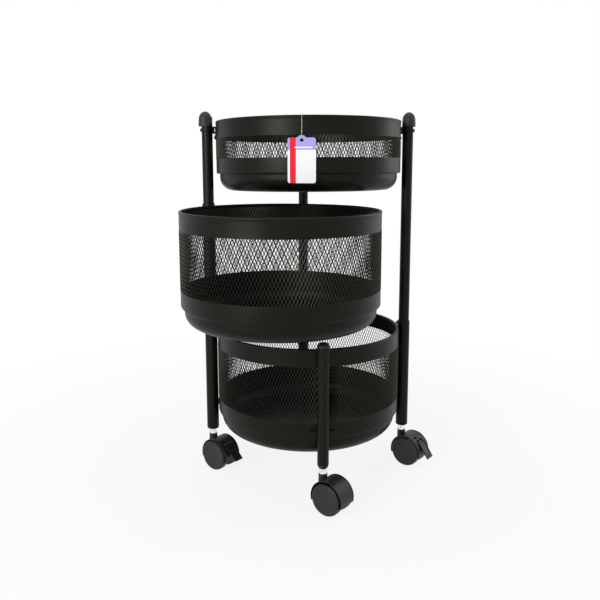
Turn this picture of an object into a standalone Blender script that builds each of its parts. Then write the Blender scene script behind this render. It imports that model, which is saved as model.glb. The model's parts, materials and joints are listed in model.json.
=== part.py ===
"""A free-standing three-tier vegetable rack on casters.

Three round baskets stand between four round posts. The top and bottom baskets are fixed
to the posts. The middle one turns about the left post, and is modelled swung out.
Lengths are in metres, +Z is up and the floor is z = 0. Run it with Blender:
    blender --background --python part.py
"""
import math

import bmesh
import bpy
from mathutils import Matrix, Vector

# Whole rack
POST_GAP = 0.0040
PAN_ABOVE_CASTERS = 0.0107
LOWER_TIER_GAP = 0.0323
UPPER_TIER_GAP = 0.0244
FRONT_POST_TURN = math.radians(4.66)
SWING_AT_REST = math.radians(44.7)
FIT_GAP = 0.0003
OVERRUN = 0.002
WELD_DISTANCE = 0.00001

# Tubes: the thin one slides into the thick one
THIN_TUBE_RADIUS = 0.0083
THIN_TUBE_WALL = 0.0010
THICK_TUBE_WALL = 0.0010
TELESCOPE_LENGTH = 0.050

# Baskets
BASKET_RADIUS = 0.1418
SHEET = 0.0008
RIM_BAND_HEIGHT = 0.0264
BEAD_RADIUS = 0.0022
BEAD_PROUD = 0.0005
SHALLOW_MESH_HEIGHT = 0.0298
DEEP_MESH_HEIGHT = 0.0829
MESH_THICKNESS = 0.0012
MESH_PROUD = 0.0010
MESH_OPENINGS_ROUND = 18
SHALLOW_MESH_ROWS = 1
DEEP_MESH_ROWS = 4
MESH_BAR_WIDTH = 0.0065
MESH_STRIP_WIDTH = 0.0055
SHALLOW_LOWER_BAND_HEIGHT = 0.0225
DEEP_LOWER_BAND_HEIGHT = 0.0242
BAND_EDGE_ROUND = 0.0020
LIP_WIDTH = 0.0044
PAN_INSET = 0.0050
SHALLOW_PAN_DEPTH = 0.0252
DEEP_PAN_DEPTH = 0.0275
PAN_CORNER_RADIUS = 0.020
EMBOSS_RADIUS = 0.085
EMBOSS_HEIGHT = 0.0015
EMBOSS_SLOPE = 0.003

# Caps and end plugs
CAP_WALL = 0.0019
CAP_HEIGHT = 0.0224
CAP_TOP_WALL = 0.0085
FRONT_CAP_WALL = 0.0006
FRONT_CAP_HEIGHT = 0.0065
FRONT_CAP_TOP_WALL = 0.0050
PLUG_LENGTH = 0.016
PLUG_FLANGE_HEIGHT = 0.0024
FRONT_PLUG_CONE_HEIGHT = 0.0055
FRONT_PLUG_END_RADIUS = 0.0066

# Brackets
COLLAR_WALL = 0.0020
TOP_COLLAR_HEIGHT = 0.0050
TOP_COLLAR_BELOW_RIM = 0.0114
TOP_ROD_RADIUS = 0.0014
TOP_ROD_INSET = 0.0003
TOP_SADDLE_HEIGHT = 0.0110
TOP_SADDLE_PROUD = 0.0004
BOTTOM_COLLAR_WALL = 0.0010
BOTTOM_COLLAR_HEIGHT = 0.0055
BOTTOM_WEB_HEIGHT = 0.0050
BOTTOM_WEB_EDGE_HEIGHT = 0.0010
PIVOT_COLLAR_HEIGHT = 0.0137
PIVOT_COLLAR_BELOW_RIM = 0.0137
PIVOT_CONE_HEIGHT = 0.0050
LOWER_COLLAR_HEIGHT = 0.0100
ARM_WIDTH = 0.0110
LUG_HEIGHT = 0.0092
LUG_WIDTH = 0.0140
FRONT_LUG_WIDTH = 0.0340
LUG_ABOVE_BAND_EDGE = 0.0042

# Casters
CASTER_HEADING = math.radians(-41.0)
CASTER_TRAIL = 0.0165
WHEEL_RADIUS = 0.024
WHEEL_WIDTH = 0.0112
WHEEL_PROUD = 0.0015
WHEEL_TO_SOCKET = 0.0005
WHEEL_EDGE_ROUND = 0.0018
WHEEL_FACE_WALL = 0.0025
AXLE_RADIUS = 0.003
HOOD_WALL = 0.0013
HOOD_CLEARANCE = 0.0005
HOOD_TRAILING_ANGLE = math.radians(-16.0)
HOOD_LEADING_ANGLE = math.radians(196.0)
WEB_THICKNESS = 0.003
WEB_SET_BACK = math.radians(4.0)
SOCKET_WALL = 0.0021
SOCKET_ABOVE_AXLE = 0.0297
SOCKET_DEPTH = 0.0200
SOCKET_FLOOR = 0.0040
STEM_RADIUS = 0.004
STEM_NECK_RADIUS = 0.0062
STEM_NECK_HEIGHT = 0.0067
STEM_IN_PLUG = 0.014
LEVER_HALF_WIDTH = 0.008
LEVER_THICKNESS = 0.0020
LEVER_TOP_ANGLE = math.radians(75.0)
LEVER_BEND_ANGLE = math.radians(40.0)
LEVER_REACH = 0.0270

# Hang tag
TAG_WIDTH = 0.0382
TAG_HEIGHT = 0.0607
TAG_THICKNESS = 0.0006
TAG_CORNER_RADIUS = 0.0035
TAG_BUMP_RADIUS = 0.0066
TAG_HOLE_RADIUS = 0.0024
TAG_HOLE_BELOW_EDGE = 0.0033
TAG_TURN = math.radians(-6.7)
TAG_TOP_BELOW_RIM = 0.0294
TAG_STANDOFF = 0.0022
LOOP_RADIUS = 0.0005
LOOP_INNER_LEG = 0.020
LOOP_CLEARANCE = 0.0004

# How finely round shapes are divided
BASKET_STEPS = 36
TUBE_STEPS = 16
WHEEL_STEPS = 20
HOOD_STEPS = 12
CORNER_STEPS = 3

# Sizes that follow from those above
THICK_TUBE_RADIUS = THIN_TUBE_RADIUS + FIT_GAP + THICK_TUBE_WALL
POST_CIRCLE_RADIUS = BASKET_RADIUS + POST_GAP + THICK_TUBE_RADIUS
BOTTOM_BASKET_RADIUS = POST_CIRCLE_RADIUS - THICK_TUBE_RADIUS - FIT_GAP - MESH_PROUD
POST_TO_BAND = POST_CIRCLE_RADIUS - BASKET_RADIUS - FIT_GAP
POST_TO_BOTTOM_BAND = POST_CIRCLE_RADIUS - BOTTOM_BASKET_RADIUS - FIT_GAP
POST_TO_BOTTOM_BEAD = POST_CIRCLE_RADIUS - BOTTOM_BASKET_RADIUS - BEAD_PROUD + BEAD_RADIUS
SOCKET_RADIUS = STEM_RADIUS + FIT_GAP + SOCKET_WALL
SOCKET_TOP = WHEEL_RADIUS + SOCKET_ABOVE_AXLE
CASTER_HEIGHT = SOCKET_TOP + STEM_NECK_HEIGHT + 2 * FIT_GAP
WHEEL_INNER_FACE = SOCKET_RADIUS + WHEEL_TO_SOCKET
WHEEL_OUTER_FACE = WHEEL_INNER_FACE + WHEEL_WIDTH
HOOD_INNER_RADIUS = WHEEL_RADIUS + HOOD_CLEARANCE
HOOD_RADIUS = HOOD_INNER_RADIUS + HOOD_WALL
HOOD_HALF_WIDTH = WHEEL_OUTER_FACE - WHEEL_PROUD
SHALLOW_DEPTH = RIM_BAND_HEIGHT + SHALLOW_MESH_HEIGHT + SHALLOW_LOWER_BAND_HEIGHT + SHALLOW_PAN_DEPTH
DEEP_DEPTH = RIM_BAND_HEIGHT + DEEP_MESH_HEIGHT + DEEP_LOWER_BAND_HEIGHT + DEEP_PAN_DEPTH
BOTTOM_RIM_HEIGHT = CASTER_HEIGHT + PAN_ABOVE_CASTERS + DEEP_DEPTH
MIDDLE_RIM_HEIGHT = BOTTOM_RIM_HEIGHT + LOWER_TIER_GAP + DEEP_DEPTH
TOP_RIM_HEIGHT = MIDDLE_RIM_HEIGHT + UPPER_TIER_GAP + SHALLOW_DEPTH
BOTTOM_SEAT_HEIGHT = BOTTOM_RIM_HEIGHT + FIT_GAP
PIVOT_SEAT_HEIGHT = MIDDLE_RIM_HEIGHT - PIVOT_COLLAR_BELOW_RIM
TOP_COLLAR_MIDDLE = TOP_RIM_HEIGHT - TOP_COLLAR_BELOW_RIM - TOP_COLLAR_HEIGHT / 2
FRONT_POST_HEIGHT = BOTTOM_SEAT_HEIGHT + BOTTOM_COLLAR_HEIGHT + FIT_GAP + FRONT_CAP_HEIGHT
TALL_POST_HEIGHT = TOP_COLLAR_MIDDLE + TOP_SADDLE_HEIGHT / 2 + FIT_GAP + CAP_HEIGHT
TAG_HANG = TAG_HOLE_RADIUS - LOOP_RADIUS - LOOP_CLEARANCE
POST_ANGLES = {
    "left": math.pi,
    "right": 0,
    "back": math.pi / 2,
    "front": FRONT_POST_TURN - math.pi / 2,
}
# name, radius, rim height, and whether it is a deep one
BASKETS = (
    ("top", BASKET_RADIUS, TOP_RIM_HEIGHT, False),
    ("middle", BASKET_RADIUS, MIDDLE_RIM_HEIGHT, True),
    ("bottom", BOTTOM_BASKET_RADIUS, BOTTOM_RIM_HEIGHT, True),
)


def start_scene():
    """Empty the scene, and return the collection that holds the finished parts."""
    for old in list(bpy.data.objects):
        bpy.data.objects.remove(old, do_unlink=True)
    parts = bpy.data.collections.new("tiered_vegetable_basket")
    bpy.context.scene.collection.children.link(parts)
    return parts


def make_material(name, colour, roughness, metallic):
    """A plain surface: colour is linear red, green and blue."""
    material = bpy.data.materials.new(name)
    material.use_nodes = True
    shader = material.node_tree.nodes["Principled BSDF"]
    shader.inputs["Base Color"].default_value = (*colour, 1.0)
    shader.inputs["Roughness"].default_value = roughness
    shader.inputs["Metallic"].default_value = metallic
    material.diffuse_color = (*colour, 1.0)
    return material


def helper_object(name, data):
    """A shape that is joined, cut or read, and then removed."""
    helper = bpy.data.objects.new(name, data)
    bpy.context.scene.collection.objects.link(helper)
    return helper


def finished_mesh(base, joined=(), cut=()):
    """Join and cut helper shapes, return the mesh that results and remove the helpers."""
    for operation, tools in (("UNION", joined), ("DIFFERENCE", cut)):
        for tool in tools:
            boolean = base.modifiers.new(tool.name, "BOOLEAN")
            boolean.operation = operation
            boolean.object = tool
    bpy.context.view_layer.update()
    depsgraph = bpy.context.evaluated_depsgraph_get()
    mesh = bpy.data.meshes.new_from_object(base.evaluated_get(depsgraph))
    mesh.transform(base.matrix_world)
    for helper in (base, *joined, *cut):
        bpy.data.objects.remove(helper, do_unlink=True)
    mesh.shade_smooth()
    mesh.set_sharp_from_angle(angle=math.radians(35))
    return mesh


def turned(profile, steps):
    """Turn a profile about Z. Its points (radius, height) run down the outer side.

    A profile with both ends on the axis is left open there, and any other is a ring.
    """
    is_ring = profile[0][0] > 0
    points = [(radius, 0, height) for radius, height in profile]
    edges = [(index, index + 1) for index in range(len(points) - 1)]
    if is_ring:
        edges.append((len(points) - 1, 0))
    mesh = bpy.data.meshes.new("profile")
    mesh.from_pydata(points, edges, [])
    helper = helper_object("profile", mesh)
    screw = helper.modifiers.new("Turn", "SCREW")
    screw.axis = "Z"
    screw.steps = steps
    screw.render_steps = steps
    screw.use_merge_vertices = True
    screw.merge_threshold = WELD_DISTANCE
    return helper


def curve_mesh(curve):
    """Turn a curve into a mesh, its loose caps welded to its sides."""
    helper = helper_object("curve", curve)
    bpy.context.view_layer.update()
    depsgraph = bpy.context.evaluated_depsgraph_get()
    mesh = bpy.data.meshes.new_from_object(helper.evaluated_get(depsgraph))
    bpy.data.objects.remove(helper, do_unlink=True)
    shape = bmesh.new()
    shape.from_mesh(mesh)
    bmesh.ops.remove_doubles(shape, verts=shape.verts, dist=WELD_DISTANCE)
    bmesh.ops.recalc_face_normals(shape, faces=shape.faces)
    shape.to_mesh(mesh)
    shape.free()
    return mesh


def plate(outlines, half_thickness, upright=False):
    """A flat plate with the given outlines, the first outside and the others holes.

    It lies in XY. An upright one stands in XZ, with its thickness along Y.
    """
    curve = bpy.data.curves.new("outline", "CURVE")
    curve.dimensions = "2D"
    curve.fill_mode = "BOTH"
    curve.extrude = half_thickness
    for outline in outlines:
        spline = curve.splines.new("POLY")
        spline.points.add(len(outline) - 1)
        for point, (across, along) in zip(spline.points, outline):
            point.co = (across, along, 0, 1)
        spline.use_cyclic_u = True
    mesh = curve_mesh(curve)
    if upright:
        mesh.transform(Matrix.Rotation(math.pi / 2, 4, "X"))
    return helper_object("plate", mesh)


def box(low, high):
    """A box between two corners."""
    low, high = Vector(low), Vector(high)
    bpy.ops.mesh.primitive_cube_add(size=1)
    helper = bpy.context.active_object
    helper.data.transform(Matrix.Translation((low + high) / 2) @ Matrix.Diagonal((*(high - low), 1)))
    return helper


def cylinder(radius, start, end, steps=TUBE_STEPS):
    """A cylinder from one point to another."""
    start, end = Vector(start), Vector(end)
    axis = end - start
    bpy.ops.mesh.primitive_cylinder_add(radius=radius, depth=axis.length, vertices=steps)
    helper = bpy.context.active_object
    turn = axis.to_track_quat("Z", "Y").to_matrix().to_4x4()
    helper.data.transform(Matrix.Translation((start + end) / 2) @ turn)
    return helper


def arc(radius, start, end, steps, centre=(0, 0)):
    """Points on an arc, from one angle to another."""
    angles = [start + (end - start) * step / steps for step in range(steps + 1)]
    return [(centre[0] + radius * math.cos(a), centre[1] + radius * math.sin(a)) for a in angles]


class Rack:
    """The rack's finished parts, and the empties that carry them."""

    def __init__(self):
        self.parts = start_scene()
        self.materials = {
            "powder_coat": make_material("powder_coat", (0.030, 0.031, 0.027), 0.42, 0.0),
            "cap_plastic": make_material("cap_plastic", (0.040, 0.040, 0.038), 0.50, 0.0),
            "caster_plastic": make_material("caster_plastic", (0.028, 0.029, 0.029), 0.38, 0.0),
            "chrome": make_material("chrome", (0.78, 0.78, 0.79), 0.12, 1.0),
            "card": make_material("card", (0.88, 0.87, 0.88), 0.45, 0.0),
            "clear_strand": make_material("clear_strand", (0.80, 0.80, 0.80), 0.25, 0.0),
        }
        self.layout = self.empty("layout", None)
        self.posts = {}
        for name, angle in POST_ANGLES.items():
            post = self.empty(name + "_post", self.layout)
            post.location = (POST_CIRCLE_RADIUS * math.cos(angle), POST_CIRCLE_RADIUS * math.sin(angle), 0)
            post.rotation_euler.z = angle
            self.posts[name] = post
        self.swing = self.empty("middle_swing", self.layout)
        self.swing.location = self.posts["left"].location
        self.swing.rotation_euler.z = -SWING_AT_REST

    def empty(self, name, parent):
        """An empty that carries parts."""
        carrier = bpy.data.objects.new(name, None)
        bpy.context.scene.collection.objects.link(carrier)
        carrier.parent = parent
        return carrier

    def add(self, name, mesh, material, parent, location=(0, 0, 0), turn=0):
        """Place one finished part."""
        part = bpy.data.objects.new(name, mesh)
        if not mesh.materials:
            mesh.materials.append(self.materials[material])
        self.parts.objects.link(part)
        part.parent = parent
        part.location = location
        part.rotation_euler.z = turn
        return part


def rim_band_mesh(radius):
    """The upper band with its rolled bead. Its rim is at z = 0."""
    bead_centre = radius + BEAD_PROUD - BEAD_RADIUS
    inside = radius - SHEET
    outer_bead = arc(BEAD_RADIUS, math.pi / 2, 0, 2, (bead_centre, -BEAD_RADIUS))
    inner_bead = arc(BEAD_RADIUS, math.pi * 5 / 4, math.pi * 3 / 4, 2, (bead_centre, -BEAD_RADIUS))
    profile = outer_bead + [
        (radius, -2 * BEAD_RADIUS),
        (radius, -RIM_BAND_HEIGHT),
        (inside, -RIM_BAND_HEIGHT),
        (inside, -2 * BEAD_RADIUS),
    ] + inner_bead
    return finished_mesh(turned(profile, BASKET_STEPS))


def mesh_wall_mesh(radius, height, rows):
    """The wall of expanded metal, as a ring with a plain grid of openings.

    The rim is at z = 0. Each helper box cuts a column of openings on both sides.
    """
    outside = radius + MESH_PROUD
    inside = outside - MESH_THICKNESS
    top = -RIM_BAND_HEIGHT - FIT_GAP
    bottom = -RIM_BAND_HEIGHT - height + FIT_GAP
    profile = [(outside, top), (outside, bottom), (inside, bottom), (inside, top)]
    row_pitch = (top - bottom - MESH_STRIP_WIDTH) / rows
    turn_pitch = 2 * math.pi / MESH_OPENINGS_ROUND
    half_width = (radius * turn_pitch - MESH_BAR_WIDTH) / 2
    low = (-outside - OVERRUN, -half_width, bottom + MESH_STRIP_WIDTH)
    high = (outside + OVERRUN, half_width, bottom + row_pitch)
    cutters = []
    for number in range(MESH_OPENINGS_ROUND // 2):
        cutter = box(low, high)
        cutter.rotation_euler.z = number * turn_pitch
        stack = cutter.modifiers.new("Rows", "ARRAY")
        stack.count = rows
        stack.use_relative_offset = False
        stack.use_constant_offset = True
        stack.constant_offset_displace = (0, 0, row_pitch)
        cutters.append(cutter)
    return finished_mesh(turned(profile, BASKET_STEPS), cut=cutters)


def lower_band_mesh(radius, top, height):
    """The lower band, whose bottom edge turns in as a lip for the pan."""
    bottom = top - height
    inside = radius - SHEET
    inner_round = BAND_EDGE_ROUND + SHEET / 2
    profile = [
        (radius, top),
        (radius, bottom + BAND_EDGE_ROUND),
        (radius - BAND_EDGE_ROUND, bottom),
        (radius - LIP_WIDTH, bottom),
        (radius - LIP_WIDTH, bottom + SHEET),
        (radius - inner_round, bottom + SHEET),
        (inside, bottom + inner_round),
        (inside, top),
    ]
    return finished_mesh(turned(profile, BASKET_STEPS))


def pan_mesh(radius, band_bottom, depth):
    """The pan that hangs by its flange on the lower band's lip."""
    outside = radius - PAN_INSET
    inside = outside - SHEET
    flange_edge = radius - BAND_EDGE_ROUND - SHEET / 2 - FIT_GAP
    flange_bottom = band_bottom + SHEET + FIT_GAP
    under = band_bottom - depth
    floor = under + SHEET
    inner_corner = PAN_CORNER_RADIUS - SHEET
    quarter = math.pi / 2
    profile = [
        (0, floor + EMBOSS_HEIGHT),
        (EMBOSS_RADIUS, floor + EMBOSS_HEIGHT),
        (EMBOSS_RADIUS + EMBOSS_SLOPE, floor),
    ]
    profile += arc(inner_corner, -quarter, 0, CORNER_STEPS, (inside - inner_corner, floor + inner_corner))
    profile += [
        (inside, flange_bottom + SHEET),
        (flange_edge, flange_bottom + SHEET),
        (flange_edge, flange_bottom),
        (outside, flange_bottom),
    ]
    corner_centre = (outside - PAN_CORNER_RADIUS, under + PAN_CORNER_RADIUS)
    profile += arc(PAN_CORNER_RADIUS, 0, -quarter, CORNER_STEPS, corner_centre)
    profile += [
        (EMBOSS_RADIUS + EMBOSS_SLOPE, under),
        (EMBOSS_RADIUS, under + EMBOSS_HEIGHT),
        (0, under + EMBOSS_HEIGHT),
    ]
    return finished_mesh(turned(profile, BASKET_STEPS))


def add_baskets(rack):
    """Three baskets, each a rim band, a mesh wall, a lower band and a pan."""
    shallow = (SHALLOW_MESH_HEIGHT, SHALLOW_MESH_ROWS, SHALLOW_LOWER_BAND_HEIGHT, SHALLOW_PAN_DEPTH)
    deep = (DEEP_MESH_HEIGHT, DEEP_MESH_ROWS, DEEP_LOWER_BAND_HEIGHT, DEEP_PAN_DEPTH)
    for name, radius, rim, is_deep in BASKETS:
        if name == "middle":
            parent, place = rack.swing, (POST_CIRCLE_RADIUS, 0, rim)
        else:
            parent, place = rack.layout, (0, 0, rim)
        mesh_height, rows, band_height, pan_depth = deep if is_deep else shallow
        band_top = -RIM_BAND_HEIGHT - mesh_height
        pieces = (
            ("rim_band", rim_band_mesh(radius)),
            ("mesh_wall", mesh_wall_mesh(radius, mesh_height, rows)),
            ("lower_band", lower_band_mesh(radius, band_top, band_height)),
            ("pan", pan_mesh(radius, band_top - band_height, pan_depth)),
        )
        for piece, mesh in pieces:
            rack.add(name + "_" + piece, mesh, "powder_coat", parent, place)


def tube_mesh(radius, wall, bottom, top):
    """A length of tube."""
    bore = radius - wall
    profile = [(radius, top), (radius, bottom), (bore, bottom), (bore, top)]
    return finished_mesh(turned(profile, TUBE_STEPS))


def add_tubes(rack):
    """Thick lower tubes, thin upper tubes, and the thin front tube."""
    thick_bottom = CASTER_HEIGHT + PLUG_FLANGE_HEIGHT + FIT_GAP
    tall_top = TALL_POST_HEIGHT - CAP_TOP_WALL - FIT_GAP
    seats = {"left": PIVOT_SEAT_HEIGHT, "right": BOTTOM_SEAT_HEIGHT, "back": BOTTOM_SEAT_HEIGHT}
    for name, seat in seats.items():
        thick_top = seat - FIT_GAP
        lower = tube_mesh(THICK_TUBE_RADIUS, THICK_TUBE_WALL, thick_bottom, thick_top)
        upper = tube_mesh(THIN_TUBE_RADIUS, THIN_TUBE_WALL, thick_top - TELESCOPE_LENGTH, tall_top)
        rack.add(name + "_lower_tube", lower, "powder_coat", rack.posts[name])
        rack.add(name + "_upper_tube", upper, "powder_coat", rack.posts[name])
    front_bottom = CASTER_HEIGHT + FRONT_PLUG_CONE_HEIGHT + FIT_GAP
    front_top = FRONT_POST_HEIGHT - FRONT_CAP_TOP_WALL - FIT_GAP
    front = tube_mesh(THIN_TUBE_RADIUS, THIN_TUBE_WALL, front_bottom, front_top)
    rack.add("front_tube", front, "powder_coat", rack.posts["front"])


def cap_mesh(wall, height, top_wall, shape_shares):
    """A cap over a thin tube's end. Its top is at z = 0.

    shape_shares gives its outline as shares of its radius and its height.
    """
    bore = THIN_TUBE_RADIUS + FIT_GAP
    radius = bore + wall
    profile = [(radius * across, -height * down) for across, down in shape_shares]
    profile += [(bore, -height), (bore, -top_wall), (0, -top_wall)]
    return finished_mesh(turned(profile, TUBE_STEPS))


def add_caps(rack):
    """Domed caps on the tall posts and a low one on the front post."""
    dome_shares = ((0, 0), (0.30, 0.03), (0.52, 0.10), (0.74, 0.20), (0.87, 0.32), (0.95, 0.52), (1, 1))
    low_dome_shares = ((0, 0), (0.45, 0.07), (0.78, 0.28), (0.97, 0.66), (1, 1))
    dome = cap_mesh(CAP_WALL, CAP_HEIGHT, CAP_TOP_WALL, dome_shares)
    for name in ("left", "right", "back"):
        rack.add(name + "_cap", dome, "cap_plastic", rack.posts[name], (0, 0, TALL_POST_HEIGHT))
    low_dome = cap_mesh(FRONT_CAP_WALL, FRONT_CAP_HEIGHT, FRONT_CAP_TOP_WALL, low_dome_shares)
    rack.add("front_cap", low_dome, "cap_plastic", rack.posts["front"], (0, 0, FRONT_POST_HEIGHT))


def plug_mesh(tube_bore, end_radius, shoulder_radius, shoulder_height):
    """A tube's end plug. Its underside is at z = 0, and the stem's bore runs through it."""
    body = tube_bore - FIT_GAP
    bore = STEM_RADIUS + FIT_GAP
    top = shoulder_height + PLUG_LENGTH
    profile = [
        (body, top),
        (body, shoulder_height),
        (shoulder_radius, shoulder_height),
        (end_radius, 0),
        (bore, 0),
        (bore, top),
    ]
    return finished_mesh(turned(profile, TUBE_STEPS))


def add_plugs(rack):
    """Plugs at the feet of the posts, which hold the casters' stems."""
    thick_bore = THICK_TUBE_RADIUS - THICK_TUBE_WALL
    thick_end = THICK_TUBE_RADIUS - PLUG_FLANGE_HEIGHT / 2
    flanged = plug_mesh(thick_bore, thick_end, THICK_TUBE_RADIUS, PLUG_FLANGE_HEIGHT)
    for name in ("left", "right", "back"):
        rack.add(name + "_plug", flanged, "cap_plastic", rack.posts[name], (0, 0, CASTER_HEIGHT))
    thin_bore = THIN_TUBE_RADIUS - THIN_TUBE_WALL
    tapered = plug_mesh(thin_bore, FRONT_PLUG_END_RADIUS, THIN_TUBE_RADIUS, FRONT_PLUG_CONE_HEIGHT)
    rack.add("front_plug", tapered, "cap_plastic", rack.posts["front"], (0, 0, CASTER_HEIGHT))


def collar(bore, bottom, top, cone=0):
    """A helper ring round a post, coned above if asked."""
    radius = bore + COLLAR_WALL
    neck = bore + COLLAR_WALL / 3
    profile = [(radius, top - cone), (radius, bottom), (bore, bottom), (bore, top)]
    if cone:
        profile.insert(0, (neck, top))
    return turned(profile, TUBE_STEPS)


def arm(bore, reach, bottom, top):
    """A helper block from a collar's wall to the basket, which lies at -X."""
    return box((-reach, -ARM_WIDTH / 2, bottom), (-bore - COLLAR_WALL / 3, ARM_WIDTH / 2, top))


def top_collar_mesh():
    """Ring, saddle and two rods that hold the top basket. The ring's middle is at z = 0."""
    bore = THIN_TUBE_RADIUS + FIT_GAP
    saddle_low = -TOP_SADDLE_HEIGHT / 2
    saddle_high = TOP_SADDLE_HEIGHT / 2
    outer = bore + COLLAR_WALL
    ring = cylinder(outer, (0, 0, -TOP_COLLAR_HEIGHT / 2), (0, 0, TOP_COLLAR_HEIGHT / 2))
    saddle_face = -outer - TOP_SADDLE_PROUD
    saddle = box((saddle_face, -ARM_WIDTH / 2, saddle_low), (0, ARM_WIDTH / 2, saddle_high))
    rods = []
    rod_spread = saddle_high - TOP_ROD_RADIUS - TOP_ROD_INSET
    for height in (-rod_spread, rod_spread):
        inner_end = (-bore - COLLAR_WALL / 2, 0, height)
        rods.append(cylinder(TOP_ROD_RADIUS, inner_end, (-POST_TO_BAND, 0, height), TUBE_STEPS // 2))
    post = cylinder(bore, (0, 0, saddle_low - OVERRUN), (0, 0, saddle_high + OVERRUN))
    return finished_mesh(ring, joined=(saddle, *rods), cut=(post,))


def bottom_collar_mesh(bore):
    """A ring above the bottom basket's rim, and a web that slopes down from it over the bead."""
    ring = cylinder(bore + BOTTOM_COLLAR_WALL, (0, 0, 0), (0, 0, BOTTOM_COLLAR_HEIGHT))
    web_outline = [
        (-POST_TO_BOTTOM_BEAD, FIT_GAP),
        (-bore / 2, FIT_GAP),
        (-bore / 2, BOTTOM_WEB_HEIGHT),
        (-bore - BOTTOM_COLLAR_WALL / 2, BOTTOM_WEB_HEIGHT),
        (-POST_TO_BOTTOM_BEAD, BOTTOM_WEB_EDGE_HEIGHT),
    ]
    web = plate([web_outline], ARM_WIDTH / 2, upright=True)
    post = cylinder(bore, (0, 0, -OVERRUN), (0, 0, BOTTOM_COLLAR_HEIGHT + OVERRUN))
    return finished_mesh(ring, joined=(web,), cut=(post,))


def add_brackets(rack):
    """Collars and lugs between the baskets and the posts."""
    top = top_collar_mesh()
    for name in ("left", "right", "back"):
        rack.add("top_" + name + "_collar", top, "powder_coat", rack.posts[name], (0, 0, TOP_COLLAR_MIDDLE))

    thin_bore = THIN_TUBE_RADIUS + FIT_GAP
    thick_bore = THICK_TUBE_RADIUS + FIT_GAP
    pivot_top = PIVOT_COLLAR_HEIGHT + PIVOT_CONE_HEIGHT / 2
    pivot_arm_top = PIVOT_COLLAR_BELOW_RIM - 2 * BEAD_RADIUS - FIT_GAP
    pivot_ring = collar(thin_bore, 0, pivot_top, PIVOT_CONE_HEIGHT)
    pivot = finished_mesh(pivot_ring, joined=(arm(thin_bore, POST_TO_BAND, 0, pivot_arm_top),))
    seat = (0, 0, PIVOT_SEAT_HEIGHT)
    rack.add("middle_pivot_collar", pivot, "powder_coat", rack.swing, seat, math.pi)

    middle_band_top = MIDDLE_RIM_HEIGHT - RIM_BAND_HEIGHT - DEEP_MESH_HEIGHT
    steady_bottom = middle_band_top - (DEEP_LOWER_BAND_HEIGHT + LOWER_COLLAR_HEIGHT) / 2
    steady_ring = collar(thick_bore, 0, LOWER_COLLAR_HEIGHT)
    steady_arm = arm(thick_bore, POST_TO_BAND, 0, LOWER_COLLAR_HEIGHT)
    steady = finished_mesh(steady_ring, joined=(steady_arm,))
    place = (0, 0, steady_bottom)
    rack.add("middle_lower_collar", steady, "powder_coat", rack.swing, place, math.pi)

    for name in POST_ANGLES:
        ring = bottom_collar_mesh(thick_bore if name == "left" else thin_bore)
        place = (0, 0, BOTTOM_SEAT_HEIGHT)
        rack.add("bottom_" + name + "_collar", ring, "powder_coat", rack.posts[name], place)

    lug_bottom = BOTTOM_RIM_HEIGHT - DEEP_DEPTH + DEEP_PAN_DEPTH + LUG_ABOVE_BAND_EDGE
    for name in POST_ANGLES:
        tube = THIN_TUBE_RADIUS if name == "front" else THICK_TUBE_RADIUS
        width = FRONT_LUG_WIDTH if name == "front" else LUG_WIDTH
        low = (-POST_TO_BOTTOM_BAND, -width / 2, 0)
        lug = box(low, (-tube - FIT_GAP, width / 2, LUG_HEIGHT))
        place = (0, 0, lug_bottom)
        rack.add("bottom_" + name + "_lug", finished_mesh(lug), "powder_coat", rack.posts[name], place)


def housing_mesh():
    """A caster's hood, web, stem socket and axle. The stem's axis is Z, the wheels are at +X."""
    centre = (CASTER_TRAIL, WHEEL_RADIUS)
    outer = arc(HOOD_RADIUS, HOOD_TRAILING_ANGLE, HOOD_LEADING_ANGLE, HOOD_STEPS, centre)
    inner = arc(HOOD_INNER_RADIUS, HOOD_LEADING_ANGLE, HOOD_TRAILING_ANGLE, HOOD_STEPS, centre)
    hood = plate([outer + inner], HOOD_HALF_WIDTH, upright=True)
    middle_radius = HOOD_RADIUS - HOOD_WALL / 2
    web_start = HOOD_TRAILING_ANGLE + WEB_SET_BACK
    web_end = HOOD_LEADING_ANGLE - WEB_SET_BACK
    web_outline = arc(middle_radius, web_start, web_end, HOOD_STEPS, centre)
    web = plate([web_outline], WEB_THICKNESS / 2, upright=True)
    socket_bottom = SOCKET_TOP - SOCKET_DEPTH - SOCKET_FLOOR
    socket = cylinder(SOCKET_RADIUS, (0, 0, socket_bottom), (0, 0, SOCKET_TOP))
    axle_reach = WHEEL_OUTER_FACE - WHEEL_FACE_WALL - FIT_GAP
    axle_ends = [(CASTER_TRAIL, side * axle_reach, WHEEL_RADIUS) for side in (-1, 1)]
    axle = cylinder(AXLE_RADIUS, *axle_ends, TUBE_STEPS // 2)
    bore_bottom = SOCKET_TOP - SOCKET_DEPTH
    bore = cylinder(STEM_RADIUS + FIT_GAP, (0, 0, bore_bottom), (0, 0, SOCKET_TOP + OVERRUN))
    return finished_mesh(hood, joined=(web, socket, axle), cut=(bore,))


def stem_mesh():
    """The chromed stem: a pin up into the plug, a fat neck, and a pin down into the socket."""
    bottom = SOCKET_TOP - SOCKET_DEPTH + FIT_GAP
    neck_bottom = SOCKET_TOP + FIT_GAP
    neck_top = CASTER_HEIGHT - FIT_GAP
    top = CASTER_HEIGHT + STEM_IN_PLUG
    profile = [
        (0, top),
        (STEM_RADIUS, top),
        (STEM_RADIUS, neck_top),
        (STEM_NECK_RADIUS, neck_top),
        (STEM_NECK_RADIUS, neck_bottom),
        (STEM_RADIUS, neck_bottom),
        (STEM_RADIUS, bottom),
        (0, bottom),
    ]
    return finished_mesh(turned(profile, TUBE_STEPS))


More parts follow.
